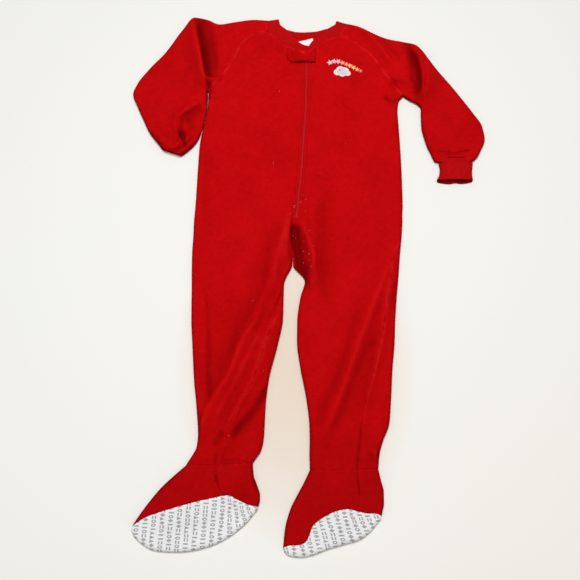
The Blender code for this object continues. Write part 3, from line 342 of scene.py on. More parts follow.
def base_rise(x, y):
    """Height of the upper layer's middle at a point of the plan."""
    shape = np.shape(x)
    x, y = np.atleast_1d(np.asarray(x, float)), np.atleast_1d(np.asarray(y, float))
    z = np.full(x.shape, TOP)
    for k in range(len(SWELLS["x"])):
        turn = np.radians(SWELLS["turn"][k])
        dx, dy = x - SWELLS["x"][k], y - SWELLS["y"][k]
        u = (dx * np.cos(turn) + dy * np.sin(turn)) / SWELLS["wide"][k]
        v = (-dx * np.sin(turn) + dy * np.cos(turn)) / SWELLS["long"][k]
        z = z + SWELLS["height"][k] * np.clip(1 - u * u - v * v, 0, 1) ** 2
    for points, height, one, other in FOLD_LINES:
        far = 2.4 * max(one, other)
        near = ((x > points[:, 0].min() - far) & (x < points[:, 0].max() + far)
                & (y > points[:, 1].min() - far) & (y < points[:, 1].max() + far))
        if not near.any():
            continue
        px, py = x[near][:, None], y[near][:, None]
        a, d = points[:-1], np.diff(points, axis=0)
        share = np.clip(((px - a[:, 0]) * d[:, 0] + (py - a[:, 1]) * d[:, 1]) / (d**2).sum(1), 0, 1)
        ex, ey = px - a[:, 0] - share * d[:, 0], py - a[:, 1] - share * d[:, 1]
        best = np.argmin(ex**2 + ey**2, axis=1)
        row = np.arange(len(best))
        away = np.sqrt(ex[row, best] ** 2 + ey[row, best] ** 2)
        side = d[best, 0] * ey[row, best] - d[best, 1] * ex[row, best]
        along = (best + share[row, best]) / len(d)
        reach = np.where(side > 0, other, one)
        fade = np.clip(along / 0.22, 0, 1) * np.clip((1 - along) / 0.22, 0, 1)
        fade = fade * fade * (3 - 2 * fade)
        z[near] += height * fade * np.exp(-((away / reach) ** 2))
    soft = LEAST + 0.8 * np.exp((np.minimum(z, LEAST + 0.8) - LEAST - 0.8) / 0.8)
    return np.where(z > LEAST + 0.8, z, soft).reshape(shape)


def ease(value):
    value = np.clip(value, 0, 1)
    return value * value * (3 - 2 * value)


class Limb:
    """A flattened ring. first and last are its fold edges by station; point() gives the cloth at s, t and off its middle."""

    def __init__(self, first, last, start=None, end=None, corners=(0.5, 0.5), fade=3.0, end_fade=3.0,
                 open_last=None, low_shift=None, top=None, low=LOW, half=HALF, fold=FOLD, roll=ROLL, roll_low=ROLL_LOW):
        self.first, self.last = np.asarray(first, float), np.asarray(last, float)
        self.count = len(self.first)
        self.start, self.end, self.corners = start, end, corners
        self.fade, self.end_fade = fade, end_fade
        self.open_last = np.ones(self.count) if open_last is None else open_last
        self.low_shift, self.top, self.low, self.half, self.fold = low_shift, top, low, half, fold
        self.roll, self.roll_low = roll, roll_low

    def edge(self, which, s):
        return np.stack([smooth(np.arange(self.count), which[:, k], s) for k in (0, 1)], -1)

    def distance(self, a, length, reach, roll, off, closed, corner=None, corner_t=None):
        """How far along a row of this length the share a lies, with rounded ends."""
        one, two = np.clip(a / ARC, 0, 1), np.clip((1 - a) / ARC, 0, 1)
        first = self.half + roll - (roll + off) * np.cos(one * np.pi / 2)
        second = closed * (self.half + roll - (roll + off) * np.cos(two * np.pi / 2)) + (1 - closed) * reach * two
        if corner is None:
            middle = reach + (length - 2 * reach) * (a - ARC) / (1 - 2 * ARC)
        else:
            middle = np.where(a < corner_t, reach + (corner - reach) * (a - ARC) / (corner_t - ARC),
                              corner + (length - reach - corner) * (a - corner_t) / (1 - ARC - corner_t))
        return np.where(a < ARC, first, np.where(a > 1 - ARC, length - second, middle))

    def point(self, s, t, off):
        s, t = np.broadcast_arrays(np.asarray(s, float), np.asarray(t, float))
        t = np.mod(t, 2.0)
        upper = t <= 1
        a = np.where(upper, t, 2 - t)
        roll = np.where(upper, self.roll, self.roll_low)
        reach = self.half + roll
        closed = np.interp(s, np.arange(self.count), self.open_last)
        first, last = self.edge(self.first, s), self.edge(self.last, s)
        if self.low_shift is not None:
            last = last + np.where(upper, 0, 1)[..., None] * self.low_shift(s)
        width = np.linalg.norm(last - first, axis=-1)
        share = self.distance(a, width, reach, roll, off, closed) / width
        parts, bend = [], 0
        for lines, weight in ((self.start, ease(1 - s / self.fade)),
                              (self.end, ease(1 - (self.count - 1 - s) / self.end_fade))):
            if lines is None:
                continue
            for k, line in enumerate(lines):
                if line is None:
                    continue
                here = weight * (upper if k == 0 else ~upper)
                d = self.distance(a, line.length, reach, roll, off, closed, line.corner, self.corners[k])
                f = d / line.length
                ends = line.at(np.array([0.0, 1.0]))
                parts.append((here, f))
                bend = bend + here[..., None] * (line.at(f) - ends[0] - (ends[1] - ends[0]) * f[..., None])
        total = sum(h for h, _ in parts) if parts else 0
        share = (1 - total) * share + sum(h * f for h, f in parts)
        plan = first + (last - first) * share[..., None] + bend
        one, two = np.sin(np.clip(a / ARC, 0, 1) * np.pi / 2), np.sin(np.clip((1 - a) / ARC, 0, 1) * np.pi / 2)
        level = one * (closed * two + (1 - closed))
        x, y = plan[..., 0], plan[..., 1]
        high = (rise(x, y) if self.top is None else self.top(x, y)) + off * (thicker(x, y) if self.top is None else 1)
        z = self.fold + np.where(upper, high - self.fold, self.low - off - self.fold) * level
        return np.stack([x, y, z], -1)

    def seam(self, s, t, sign):
        """t moved by half a gap."""
        t = t + sign * 1e-6
        e = 1e-4 * sign
        speed = np.linalg.norm(self.point(s, t + e, 0.0) - self.point(s, t, 0.0), axis=-1) / 1e-4
        return t + sign * 2.1 * GAP / 2 / np.maximum(speed, 1e-6)


def spread(start, stop, count, dense=5.0):
    """count values of t from start to stop, closer together round the fold edges."""
    fine = np.linspace(0, 1, 400)
    out = []
    for a, b in zip(np.atleast_1d(start), np.atleast_1d(stop)):
        t = a + (b - a) * fine
        near = np.abs(t - np.round(t)) < ARC * 1.15
        run = np.r_[0, np.cumsum(np.where(near, dense, 1.0)[1:])]
        out.append(np.interp(np.linspace(0, run[-1], count), run, t))
    return np.array(out)

# ---------------------------------------------------------------- the limbs
def zip_room(rows):
    """From the centre line to a front's edge: the zip's edge, then the seam, then the leg's own fold."""
    y = rows["centre_y"]
    return np.where(y > ZIP_END, ZIP_HALF, GAP / 2) + np.where((rows["split"] > 0) & (y > 0), 0.6, 0.0)


def body(rows, side, raglan, neck, back_raglan, back_neck):
    corner = np.array(BACK_NECK_MIDDLE) + (side * GAP / 2, 0)
    centre = np.stack([rows["centre_x"] + side * zip_room(rows), rows["centre_y"]], 1)
    front_end = centre[0]
    move = -side * GAP / 2
    front = Line(raglan, list(neck[:-1]) + [tuple(front_end)], move=move)
    back = Line(back_raglan, list(back_neck[:-1]) + [tuple(corner)], move=move)
    side_edge = np.stack([rows["side_x"], rows["side_y"]], 1)
    side_edge[0] = front.at(0.0)
    centre[0] = front.at(1.0)
    top_shift = back.at(1.0) - front.at(1.0)
    seam = np.where(rows["split"] > 0, 0.0, -side * (zip_room(rows) - GAP / 2))

    def to_back_seam(s):
        """The back has no zip, so its centre edges stay a seam's gap apart."""
        near = ease(1 - s / 3.0)
        across = (1 - near) * np.interp(s, np.arange(len(seam)), seam)
        return near[..., None] * top_shift + np.stack([across, np.zeros_like(across)], -1)

    return Limb(side_edge, centre, start=(front, back), corners=(FRONT_CORNER, BACK_CORNER), fade=4.0,
                open_last=rows["split"], low_shift=to_back_seam)


def sleeve(rows, side, raglan, neck, back_raglan, back_neck):
    move = side * GAP / 2
    front, back = Line(raglan, neck, move=move), Line(back_raglan, back_neck, move=move)
    under = np.stack([rows["under_x"], rows["under_y"]], 1)
    over = np.stack([rows["over_x"], rows["over_y"]], 1)
    under[0], over[0] = front.at(0.0), front.at(1.0)
    return Limb(under, over, start=(front, back), corners=(SLEEVE_CORNER, SLEEVE_CORNER), fade=2.5)

FRONT_CORNER, BACK_CORNER, SLEEVE_CORNER = 0.60, 0.72, 0.78

def blend(s, first, start, stop, reach=2.0):
    """Columns of t by row: those of the first row, giving way to an even spread."""
    even = spread(start, stop, len(first))
    weight = ease(1 - np.asarray(s) / reach)[:, None]
    out = weight * first + (1 - weight) * even
    out[:, 0], out[:, -1] = start, stop
    return out

def band_rows(front, arm, back, off):
    """The neck edges of a front, a sleeve and a back as they meet the band, with how far round each point is."""
    f = columns(FRONT_CORNER, EDGES, ALONG, OVER, False)
    f = f[f >= FRONT_CORNER - 1e-9][::-1].copy()
    f[0] = front.seam(0.0, 1.0, -1)
    a = columns(SLEEVE_CORNER, EDGES, ALONG, NECK, True)
    a = a[a >= SLEEVE_CORNER - 1e-9]
    b = columns(BACK_CORNER, EDGES, ALONG_LOW, OVER, False)
    b = b[b >= BACK_CORNER - 1e-9].copy()
    b[-1] = 2 - back.seam(0.0, 1.0, 1)
    spans = ((front, f, (1 - f) / (1 - FRONT_CORNER)), (arm, a[1:], 1 + (a[1:] - SLEEVE_CORNER) / (1 - SLEEVE_CORNER)),
             (arm, 2 - a[:-1][::-1], 2 + (1 - a[:-1][::-1]) / (1 - SLEEVE_CORNER)),
             (back, 2 - b[1:], 3 + (b[1:] - BACK_CORNER) / (1 - BACK_CORNER)))
    return (np.vstack([limb.point(0.0, t, off) for limb, t, _ in spans]),
            np.concatenate([at for _, _, at in spans]))


def band_side(front, arm, rows, off):
    points, at = band_rows(front, arm, front, off)
    knots = rows["stretch"] + rows["share"]
    across = np.stack([smooth(knots, rows["across_x"], at), smooth(knots, rows["across_y"], at)], 1)
    return points, across

class Sole:
    """The sole's fabric: from the seam with the foot's upper, out to the fold edge and back below."""

    ROUND = 0.4

    def __init__(self, limb, edge):
        self.limb, self.edge, self.end = limb, Line(edge), limb.count - 1.0

    def point(self, t, v, off):
        t, v = np.broadcast_arrays(np.asarray(t, float), np.asarray(v, float))
        limb, upper = self.limb, v <= 1
        seam = limb.point(self.end, np.where(upper, t, 2 - t), off)
        middle = limb.point(self.end, t, 0.0)
        line = limb.end[0]
        share = limb.distance(t, line.length, limb.half + limb.roll, limb.roll, 0.0, 1.0) / line.length
        out = self.edge.at(share)
        away = np.linalg.norm(out - seam[..., :2], axis=-1)
        unit = (out - seam[..., :2]) / away[..., None]
        roll = np.minimum(np.where(upper, ROLL, ROLL_LOW), 0.8 * away - HALF - 0.3)
        b = np.where(upper, 1 - v, v - 1)
        angle = np.clip(b / self.ROUND, 0, 1) * np.pi / 2
        near = HALF + roll - (roll + off) * np.cos(angle)
        far = HALF + roll + (away - GAP - HALF - roll) * np.clip((b - self.ROUND) / (1 - self.ROUND), 0, 1)
        plan = out - unit * np.where(b < self.ROUND, near, far)[..., None]
        x, y = plan[..., 0], plan[..., 1]
        corner = np.clip((middle[..., 2] - FOLD) / (rise(middle[..., 0], middle[..., 1]) - FOLD), 0, 1)
        high = SOLE_END + np.maximum(rise(x, y) - FOLD - SOLE_END, 0) * corner + off
        z = FOLD + np.where(upper, high, LOW - off - FOLD) * np.sin(angle)
        return np.stack([x, y, z], -1)

def below(rows, gap):
    """The two ends of a leg's last row, one gap further down."""
    a = np.array([rows["side_x"][-1], rows["side_y"][-1]])
    b = np.array([rows["centre_x"][-1], rows["centre_y"][-1]])
    down = np.array([-(b - a)[1], (b - a)[0]]) / np.linalg.norm(b - a)
    down = down if down[1] < 0 else -down
    return a + gap * down, b + gap * down


def foot(rows, legs, seam):
    first = np.stack([rows["first_x"], rows["first_y"]], 1)
    last = np.stack([rows["last_x"], rows["last_y"]], 1)
    first[0], last[0] = below(legs, GAP)
    return Limb(first, last, end=(Line(seam), None), end_fade=3.0)


def make_limbs():
    arm = lambda rows: (np.stack([rows["under_x"], rows["under_y"]], 1), np.stack([rows["over_x"], rows["over_y"]], 1))
    return {
        "body_right": body(BODY_RIGHT, -1, RAGLAN_FRONT_RIGHT, NECK_SEAM_RIGHT, RAGLAN_BACK_RIGHT, NECK_BACK_RIGHT),
        "body_left": body(BODY_LEFT, 1, RAGLAN_FRONT_LEFT, NECK_SEAM_LEFT, RAGLAN_BACK_LEFT, NECK_BACK_LEFT),
        "sleeve_right": sleeve(SLEEVE_RIGHT, -1, RAGLAN_FRONT_RIGHT, SLEEVE_NECK_RIGHT, RAGLAN_BACK_RIGHT, SLEEVE_BACKNECK_RIGHT),
        "sleeve_left": sleeve(SLEEVE_LEFT, 1, RAGLAN_FRONT_LEFT, SLEEVE_NECK_LEFT, RAGLAN_BACK_LEFT, SLEEVE_BACKNECK_LEFT),
        "cuff_left": Limb(*arm(CUFF_LEFT), half=CUFF_WALL / 2),
        "cuff_right": Limb(*arm(CUFF_RIGHT), half=CUFF_WALL / 2, low=CUFF_LOW, fold=(CUFF_LOW + CUFF_TOP) / 2,
                           top=lambda x, y: np.full(np.shape(x), CUFF_TOP), roll=3.0, roll_low=1.5),
        "foot_right": foot(FOOT_RIGHT, BODY_RIGHT, SOLE_SEAM_RIGHT),
        "foot_left": foot(FOOT_LEFT, BODY_LEFT, SOLE_SEAM_LEFT),
    }


EDGES, ALONG, ALONG_LOW, OVER, NECK = 2, 5, 3, 2, 2
FOOT_COLUMNS_COUNT = 9
BAND_GAP = 0.65
BACK_NECK_MIDDLE = (-3.0, 410.0)
SOLE_END = 1.5
TAPE_REACH, TAPE_DROP, COIL = 9.0, 0.7, 3.2
SLIDER_AT, SLIDER_TALL, PULL_WALL = (-3.1, 376.0), 2.2, 1.0
GUARD_LEFT, GUARD_RIGHT, GUARD_FOOT, GUARD_TOP_LEFT, GUARD_TOP_RIGHT = -33.0, 11.0, 367.0, 396.0, 390.0
GUARD_END, GUARD_LIFT, GUARD_CLEAR = 6.0, 4.2, 0.9
CUFF_LOW, CUFF_TOP = 3.7, 6.8

# ---------------------------------------------------------------- finer sampling than the solids'
EDGES, ALONG, ALONG_LOW, OVER, NECK = 9, 46, 30, 16, 16
NECK_END = 8            # columns of the last stretch of a front, which has no rounded edge
SEAM = 0.01             # what is left between two pieces at a seam
GAP = 0.02
SEAM_ENDS = (0.14, 0.14)
SURFACE = HALF          # the outside of the cloth above its middle


def columns(corner, edges, along, over, closed):
    """t down a first row: the rounded edge, the first seam to its corner, the second seam."""
    parts = [np.linspace(0, ARC, edges + 1), np.linspace(ARC, corner, along + 1)[1:],
             np.linspace(corner, 1 - ARC, over + 1)[1:]]
    parts.append(np.linspace(1 - ARC, 1, (edges if closed else NECK_END) + 1)[1:])
    return np.concatenate(parts)


def lattice(i, j, seed):
    n = (i * 374761393 + j * 668265263 + seed * 1442695041) & 0xFFFFFFFF
    n = ((n ^ (n >> 13)) * 1274126177) & 0xFFFFFFFF
    return ((n ^ (n >> 16)) & 0xFFFFFFFF) / 0xFFFFFFFF * 2 - 1


def waves(x, y, size, seed, stretch=1.0, turn=0.0):
    """Smooth uneven waves from -1 to 1, about size mm apart, longer along turn by stretch."""
    c, s = math.cos(math.radians(turn)), math.sin(math.radians(turn))
    u, v = (x * c + y * s) / (size * stretch), (-x * s + y * c) / size
    i, j = np.floor(u).astype(np.int64), np.floor(v).astype(np.int64)
    u, v = u - i, v - j
    u, v = u * u * u * (u * (u * 6 - 15) + 10), v * v * v * (v * (v * 6 - 15) + 10)
    low = lattice(i, j, seed) * (1 - u) + lattice(i + 1, j, seed) * u
    high = lattice(i, j + 1, seed) * (1 - u) + lattice(i + 1, j + 1, seed) * u
    return low * (1 - v) + high * v


def near_line(points, x, y, far):
    """For the spots of x, y near a line: which they are, how far off, on which side, how far along and its length."""
    box = ((x > points[:, 0].min() - far) & (x < points[:, 0].max() + far)
           & (y > points[:, 1].min() - far) & (y < points[:, 1].max() + far))
    where = np.flatnonzero(box.ravel())
    px, py = x.ravel()[where], y.ravel()[where]
    best, side, along = np.full(len(px), 1e9), np.zeros(len(px)), np.zeros(len(px))
    run = 0.0
    for a, b in zip(points[:-1], points[1:]):
        d = b - a
        length = math.hypot(*d)
        if length < 1e-9:
            continue
        share = np.clip(((px - a[0]) * d[0] + (py - a[1]) * d[1]) / length**2, 0, 1)
        ex, ey = px - a[0] - share * d[0], py - a[1] - share * d[1]
        away = np.hypot(ex, ey)
        closer = away < best
        best = np.where(closer, away, best)
        side = np.where(closer, np.sign(d[0] * ey - d[1] * ex), side)
        along = np.where(closer, run + share * length, along)
        run += length
    keep = best < far
    return where[keep], best[keep], side[keep], along[keep], run


# name, the line, height, reach to its right, reach to its left, sharpness
FINE = (
    ("arm_right_bend_crest", ((-194, 471), (-183.5, 433), (-172.5, 384.5), (-165.5, 340.5), (-160, 296.5)), 3, 13, 3.6, 2),
    ("arm_right_bend_dip", ((-177.5, 467.5), (-168.5, 422.5), (-160, 381), (-154.5, 333.5)), -4.6, 6.5, 12, 2.4),
    ("arm_right_bend_low", ((-159, 337), (-155.5, 320), (-158.5, 300)), -2.2, 3, 4, 2),
    ("arm_right_tuck", ((-167, 340.5), (-153, 338.5), (-135.5, 340.5)), 1.9, 3, 3, 2),
    ("arm_right_turn_crest", ((-160, 306.5), (-185, 288.5), (-205, 273.5), (-212.5, 260), (-206, 247)), 2.4, 9, 3.2, 2),
    ("arm_right_turn_dip", ((-163, 291.5), (-180, 278.5), (-195.5, 263.5)), -1.2, 4, 9, 2),
    ("arm_right_pucker_dip", ((-200, 253.5), (-196.5, 240.5), (-191.5, 225.5)), -3.4, 3, 3.2, 2),
    ("arm_right_pucker_rim_a", ((-192, 255), (-187, 240.5), (-193, 224)), 1.6, 2.6, 2.6, 2),
    ("arm_right_pucker_rim_b", ((-209.5, 257), (-204.5, 242), (-212, 225.5)), 1.6, 2.8, 2.8, 2),
    ("arm_right_end_crest", ((-247, 252), (-232.5, 243.5), (-218.5, 232)), 1.5, 3, 3, 2),
    ("arm_right_end_dip", ((-237, 227), (-222.5, 217.5), (-207, 217.5), (-190, 230.5), (-176.5, 247)), -1.8, 2.6, 4, 2),
    ("arm_right_elbow_dip", ((-236, 359), (-204, 350.5), (-175.5, 354)), -0.5, 8, 12, 2),
    ("neck_right_line", ((-99.5, 391.5), (-86.5, 407), (-74, 415.5), (-59.5, 417)), 0.9, 3, 3, 2),
    ("neck_right_crease_a", ((-83.5, 401.5), (-70.5, 396.5), (-62.5, 386.5), (-56, 379.5)), 1.3, 2.4, 2.4, 2),
    ("neck_right_crease_b", ((-58, 391.5), (-45, 400), (-32, 396.5)), 1.1, 2.4, 2.4, 2),
    ("neck_right_dip_a", ((-73.5, 388), (-67.5, 377.5)), -0.7, 3, 3, 2),
    ("neck_right_dip_b", ((-51.5, 384.5), (-38.5, 388)), -0.9, 3, 4, 2),
    ("chest_right_pull_a", ((-152.5, 327), (-134, 343.5), (-108.5, 367.5)), 0.55, 3, 3, 2),
    ("chest_right_pull_b", ((-146, 313.5), (-124, 337), (-102, 357.5)), -0.45, 3, 3, 2),
    ("side_right_dip", ((-160.5, 237), (-160.5, 156), (-162, 76.5)), -0.9, 5, 6, 2),
    ("belly_dip", ((22, 168.5), (20.5, 116), (24.5, 42), (20.5, -47)), -1.6, 9, 11, 2),
    ("belly_crest", ((11.5, 186.5), (31.5, 172)), 1.1, 3.5, 3.5, 2),
    ("belly_side_crest", ((5, 146), (6.5, 92), (7.5, 42), (3, -4.5)), 1.2, 4, 4, 2),
    ("crotch_valley", ((-26, 104.5), (-21.5, 73), (-15.5, 45), (-8, -10.5)), -4.8, 3.8, 7.5, 2),
    ("crotch_left_crest", ((-27.5, 130), (-32, 84), (-36.5, 35.5)), 3, 16, 4, 2),
    ("crotch_right_crest", ((-15, 120.5), (-3, 79.5), (3, 42), (-3.5, 1.5)), 3, 4.5, 8, 2),
    ("thigh_right_bulge", ((-32, 124), (-43, 64), (-53.5, 14), (-68, -35)), 2.8, 8, 10, 2),
    ("thigh_right_dip", ((-50.5, 116), (-62.5, 60.5), (-70, 6.5), (-88, -32), (-108.5, -64), (-121.5, -95.5), (-134.5, -128), (-153.5, -156.5), (-164.5, -184)), -2, 15, 6, 2),
    ("leg_right_line_a", ((-56, -13.5), (-80, -47), (-99.5, -71.5), (-111, -100), (-121, -129.5), (-141.5, -157.5), (-154.5, -184), (-164, -222), (-178, -253.5)), 2.3, 3.2, 9, 2),
    ("leg_right_nip", ((-38, 1.5), (-50, -26), (-65, -50.5)), -1.7, 3, 4, 2),
    ("leg_right_line_b", ((-45.5, -4.5), (-56, -44), (-71, -85), (-82.5, -122.5), (-95.5, -155), (-111.5, -184), (-123, -210), (-128.5, -239)), 2.3, 6, 3.2, 2),
    ("leg_right_deep", ((-55.5, -137), (-72, -166.5), (-88, -190), (-104, -210), (-115.5, -226)), -4.4, 4.6, 6, 2.2),
    ("leg_right_foot_dip", ((-126, -210), (-143, -234.5)), -1.6, 4, 5, 2),
    ("leg_right_edge_dip", ((-161, 14), (-152.5, -39.5), (-151.5, -100), (-150, -174)), -1.4, 4, 5, 2),
    ("leg_left_crest", ((130.5, 82.5), (114, 21.5), (94.5, -26), (77.5, -68.5), (60.5, -115), (45, -159), (22.5, -207.5), (0, -262)), 2.2, 8, 9, 2),
    ("leg_left_inner_dip", ((89.5, 14), (64, -55), (45.5, -119.5), (18, -178), (4.5, -227.5)), -1.3, 11, 6, 2),
    ("leg_left_seam_dip", ((77, -193), (72, -230.5), (67, -273.5)), -1.9, 2.6, 2.6, 2),
    ("leg_left_seam_crest", ((113, -17), (104.5, -77.5), (92.5, -137), (81.5, -188.5)), 1.1, 3, 3.4, 2),
    ("ankle_left_a", ((103, -210), (92.5, -227.5), (89.5, -239), (98, -252)), 1.5, 2.4, 2.4, 2),
    ("ankle_left_b", ((107.5, -224.5), (100, -236), (102.5, -250.5)), -1.3, 2.4, 2.4, 2),
    ("shoulder_left_crest", ((58, 433), (93, 419), (112, 396.5), (127.5, 374.5), (144.5, 350.5)), 2, 7, 3.4, 2),
    ("shoulder_left_dip", ((102.5, 412), (124.5, 398.5), (143.5, 377.5), (152.5, 360.5)), -1.2, 4, 6, 2),
    ("arm_left_bend_crest", ((170, 422.5), (185, 381), (188.5, 340.5), (184, 296.5)), 2.8, 3.4, 14, 2),
    ("arm_left_bend_dip", ((150.5, 419), (164.5, 384.5), (174.5, 350.5), (174.5, 296.5)), -3.4, 9, 4, 2.2),
    ("underarm_left_crest", ((120, 337), (133, 342), (151.5, 330), (172, 313.5)), 0.9, 3.5, 4, 2),
    ("underarm_left_dip", ((118, 313.5), (130.5, 301.5), (143, 305), (157.5, 305)), -2.4, 5, 4, 2),
    ("cuff_left_gather_crest", ((199, 220.5), (216, 219), (228.5, 215.5), (241, 219), (261.5, 220.5)), 2.2, 2.4, 2.4, 2),
    ("cuff_left_gather_dip", ((200.5, 212.5), (226.5, 209), (258, 212.5)), -0.7, 1.6, 1.6, 2),
    ("cuff_left_gather_b", ((219.5, 220.5), (214.5, 209)), 0.9, 2, 2, 2),
    ("arm_left_soft_dip", ((207.5, 286.5), (225.5, 257), (246.5, 237)), -0.8, 10, 10, 2),
    ("leg_right_fill", ((-59, -32), (-80, -77.5), (-103.5, -128), (-129.5, -178), (-153.5, -230.5)), 2.6, 6, 7, 2),
    ("leg_left_top_fill", ((132.5, 42), (119, -9), (103, -55), (84.5, -92.5)), 2.2, 6, 7, 2),
    ("leg_left_dip_b", ((113, -17), (101.5, -59.5), (92, -95.5)), -1.2, 4, 4, 2),
    ("arm_right_end_lip", ((-235.5, 238.5), (-223, 229), (-213.5, 223), (-205.5, 225.5), (-199.5, 235.5)), 1.4, 2.2, 2.2, 2),
    ("ankle_right_heel_crest", ((-129.5, -253.5), (-132.5, -270.5), (-129, -287.5), (-126, -299)), 1.2, 3, 6, 2),
    ("ankle_right_heel_dip", ((-135.5, -242), (-138.5, -265), (-133.5, -293)), -1.2, 3, 2.4, 2),
    ("ankle_right_gather", ((-128.5, -252), (-113.5, -249), (-93, -252), (-81.5, -256)), 1, 2.4, 2.4, 2),
    ("foot_left_seam_dip", ((67, -267.5), (71, -290.5), (74, -310)), -1.1, 2.2, 2.2, 2),
    ("neck_left_lift", ((67, 405), (80, 395), (90.5, 379.5), (104.5, 357.5), (117, 337)), 0.7, 2.4, 2.4, 2),
)

SEAMS = []   # lines of the visible seams: points, groove, ridge beside it on the left, on the right, pucker
LOW_SEAMS = []


def box_mean(z, reach):
    """The mean of a map over a square of 2 reach + 1 steps."""
    for axis in (0, 1):
        wide = np.pad(z, [(reach + 1, reach) if k == axis else (0, 0) for k in (0, 1)], mode="edge")
        total = np.cumsum(wide, axis=axis)
        n = 2 * reach + 1
        z = (np.take(total, range(n, total.shape[axis]), axis) - np.take(total, range(0, total.shape[axis] - n), axis)) / n
    return z


class Relief:
    """A height map of the upper layer's middle, read smoothly anywhere."""

    STEP = 0.8

    def __init__(self):
        self.x0, self.y0 = -292.0, -404.0
        nx, ny = int(586 / self.STEP), int(866 / self.STEP)
        self.x = self.x0 + self.STEP * np.arange(nx)
        self.y = self.y0 + self.STEP * np.arange(ny)
        x, y = np.meshgrid(self.x, self.y, indexing="ij")
        z = base_rise(x, y)
        z = np.where(z > TOP, TOP + 1.1 * (z - TOP), z)
        # maps of the dips' depth, for painted shade at their bottoms, and of the crests' height, for a painted
        # highlight
        self.pressed, self.painted_highlight = np.zeros(z.size), np.zeros(z.size)
        flat = z.ravel()
        for _, points, height, one, other, sharp in FINE:
            line = line_through(points, 30)
            where, away, side, along, length = near_line(line, x, y, 2.6 * max(one, other))
            reach = np.where(side > 0, other, one)
            share = along / length
            fade = ease(share / 0.24) * ease((1 - share) / 0.24)
            wander = 1 + 0.25 * waves(along, along * 0, 23, 5)
            flat[where] += height * wander * fade * np.exp(-((away / reach) ** sharp))
            if height < 0:
                self.pressed[where] -= height * fade * np.exp(-((away / reach) ** 2))
            else:
                self.painted_highlight[where] += height * wander * fade * np.exp(-((away / (0.7 * np.minimum(reach, 8.0))) ** 2))
        # soft unevenness of a worn fleece: broad, then smaller, then the lumps of its nap
        z += 0.62 * waves(x, y, 44, 1, 1.8, 82) + 0.34 * waves(x, y, 21, 2, 1.6, 76)
        z += 0.20 * waves(x, y, 11, 3, 1.3, 60) + 0.10 * waves(x, y, 5.4, 4) + 0.05 * waves(x, y, 2.9, 6)
        for mx, my, wide, long, turn, height, size in PUCKERS:
            c, s = math.cos(math.radians(turn)), math.sin(math.radians(turn))
            u, v = ((x - mx) * c + (y - my) * s) / wide, (-(x - mx) * s + (y - my) * c) / long
            z += height * np.exp(-(u * u + v * v)) * waves(x, y, size, 9, 2.2, turn + 90)
        for points, groove, left, right, pucker in SEAMS:
            where, away, side, along, length = near_line(points, x, y, 14)
            end = ease(along / 6) * ease((length - along) / 6)
            ridge = np.where(side > 0, left, right)
            ripple = waves(along, along * 0, 6.5, 11) + 0.6 * waves(along, along * 0, 3.4, 12)
            flat[where] += (-groove * np.exp(-((away / 1.3) ** 2)) + ridge * np.exp(-(((away - 2.6) / 1.5) ** 2))
                            + pucker * ripple * np.exp(-((away / 5.5) ** 2))) * end
            # a painted highlight along each seam
            self.painted_highlight[where] += (4.4 + 3.2 * ripple) * np.exp(-((away / 1.5) ** 2)) * end * (groove < 0.3)
        soft = 3.9 + 0.7 * np.exp((np.minimum(z, 4.6) - 4.6) / 0.7)
        self.z = np.where(z > 4.6, z, soft)
        self.hollow = self.z.copy()
        for _ in range(3):   # the mean height round about, less the height: how deep in a hollow each spot lies
            self.hollow = box_mean(self.hollow, 7)
        self.hollow -= self.z
        self.pressed, self.painted_highlight = self.pressed.reshape(z.shape), self.painted_highlight.reshape(z.shape)

    def read(self, x, y, of=None):
        """Catmull-Rom between the map's heights."""
        heights = self.z if of is None else of
        u, v = (x - self.x0) / self.STEP, (y - self.y0) / self.STEP
        i = np.clip(np.floor(u).astype(int), 1, self.z.shape[0] - 3)
        j = np.clip(np.floor(v).astype(int), 1, self.z.shape[1] - 3)
        u, v = np.clip(u - i, 0, 1), np.clip(v - j, 0, 1)

        def weights(w):
            return (-0.5 * w + w * w - 0.5 * w**3, 1 - 2.5 * w * w + 1.5 * w**3,
                    0.5 * w + 2 * w * w - 1.5 * w**3, -0.5 * w * w + 0.5 * w**3)
        wu, wv = weights(u), weights(v)
        out = 0.0
        for a in range(4):
            for b in range(4):
                out = out + wu[a] * wv[b] * heights[i + a - 1, j + b - 1]
        return out


def rise(x, y):
    return RELIEF.read(np.asarray(x, float), np.asarray(y, float))


def thicker(x, y):
    """How much more than the wall the cloth measures upwards where it slopes."""
    e = 0.8
    gx, gy = (rise(x + e, y) - rise(x - e, y)) / (2 * e), (rise(x, y + e) - rise(x, y - e)) / (2 * e)
    return np.minimum(np.sqrt(1 + gx * gx + gy * gy), 1.4)


def on_top(x, y, above=0.0):
    """A point of the upper layer's outside."""
    x, y = np.broadcast_arrays(np.asarray(x, float), np.asarray(y, float))
    return np.stack([x, y, rise(x, y) + SURFACE * thicker(x, y) + above], -1)


def under_relief(x, y):
    """How far the lower layer is drawn up from the floor along its seams and small creases."""
    x, y = np.asarray(x, float), np.asarray(y, float)
    z = 0.22 * np.clip(waves(x, y, 34, 21, 1.6, 80), 0, 1) + 0.18 * np.clip(waves(x, y, 13, 22, 1.6, 70), 0, 1)
    shape, z = z.shape, z.ravel()
    for points, depth in LOW_SEAMS:
        where, away, side, along, length = near_line(points, x.ravel()[None], y.ravel()[None], 12)
        ripple = 1 + 0.35 * waves(along, along * 0, 7.0, 23)
        z[where] += depth * ripple * np.exp(-((away / 1.7) ** 2))
    return z.reshape(shape)


# ---------------------------------------------------------------- meshes
ROOT = bpy.context.scene.collection


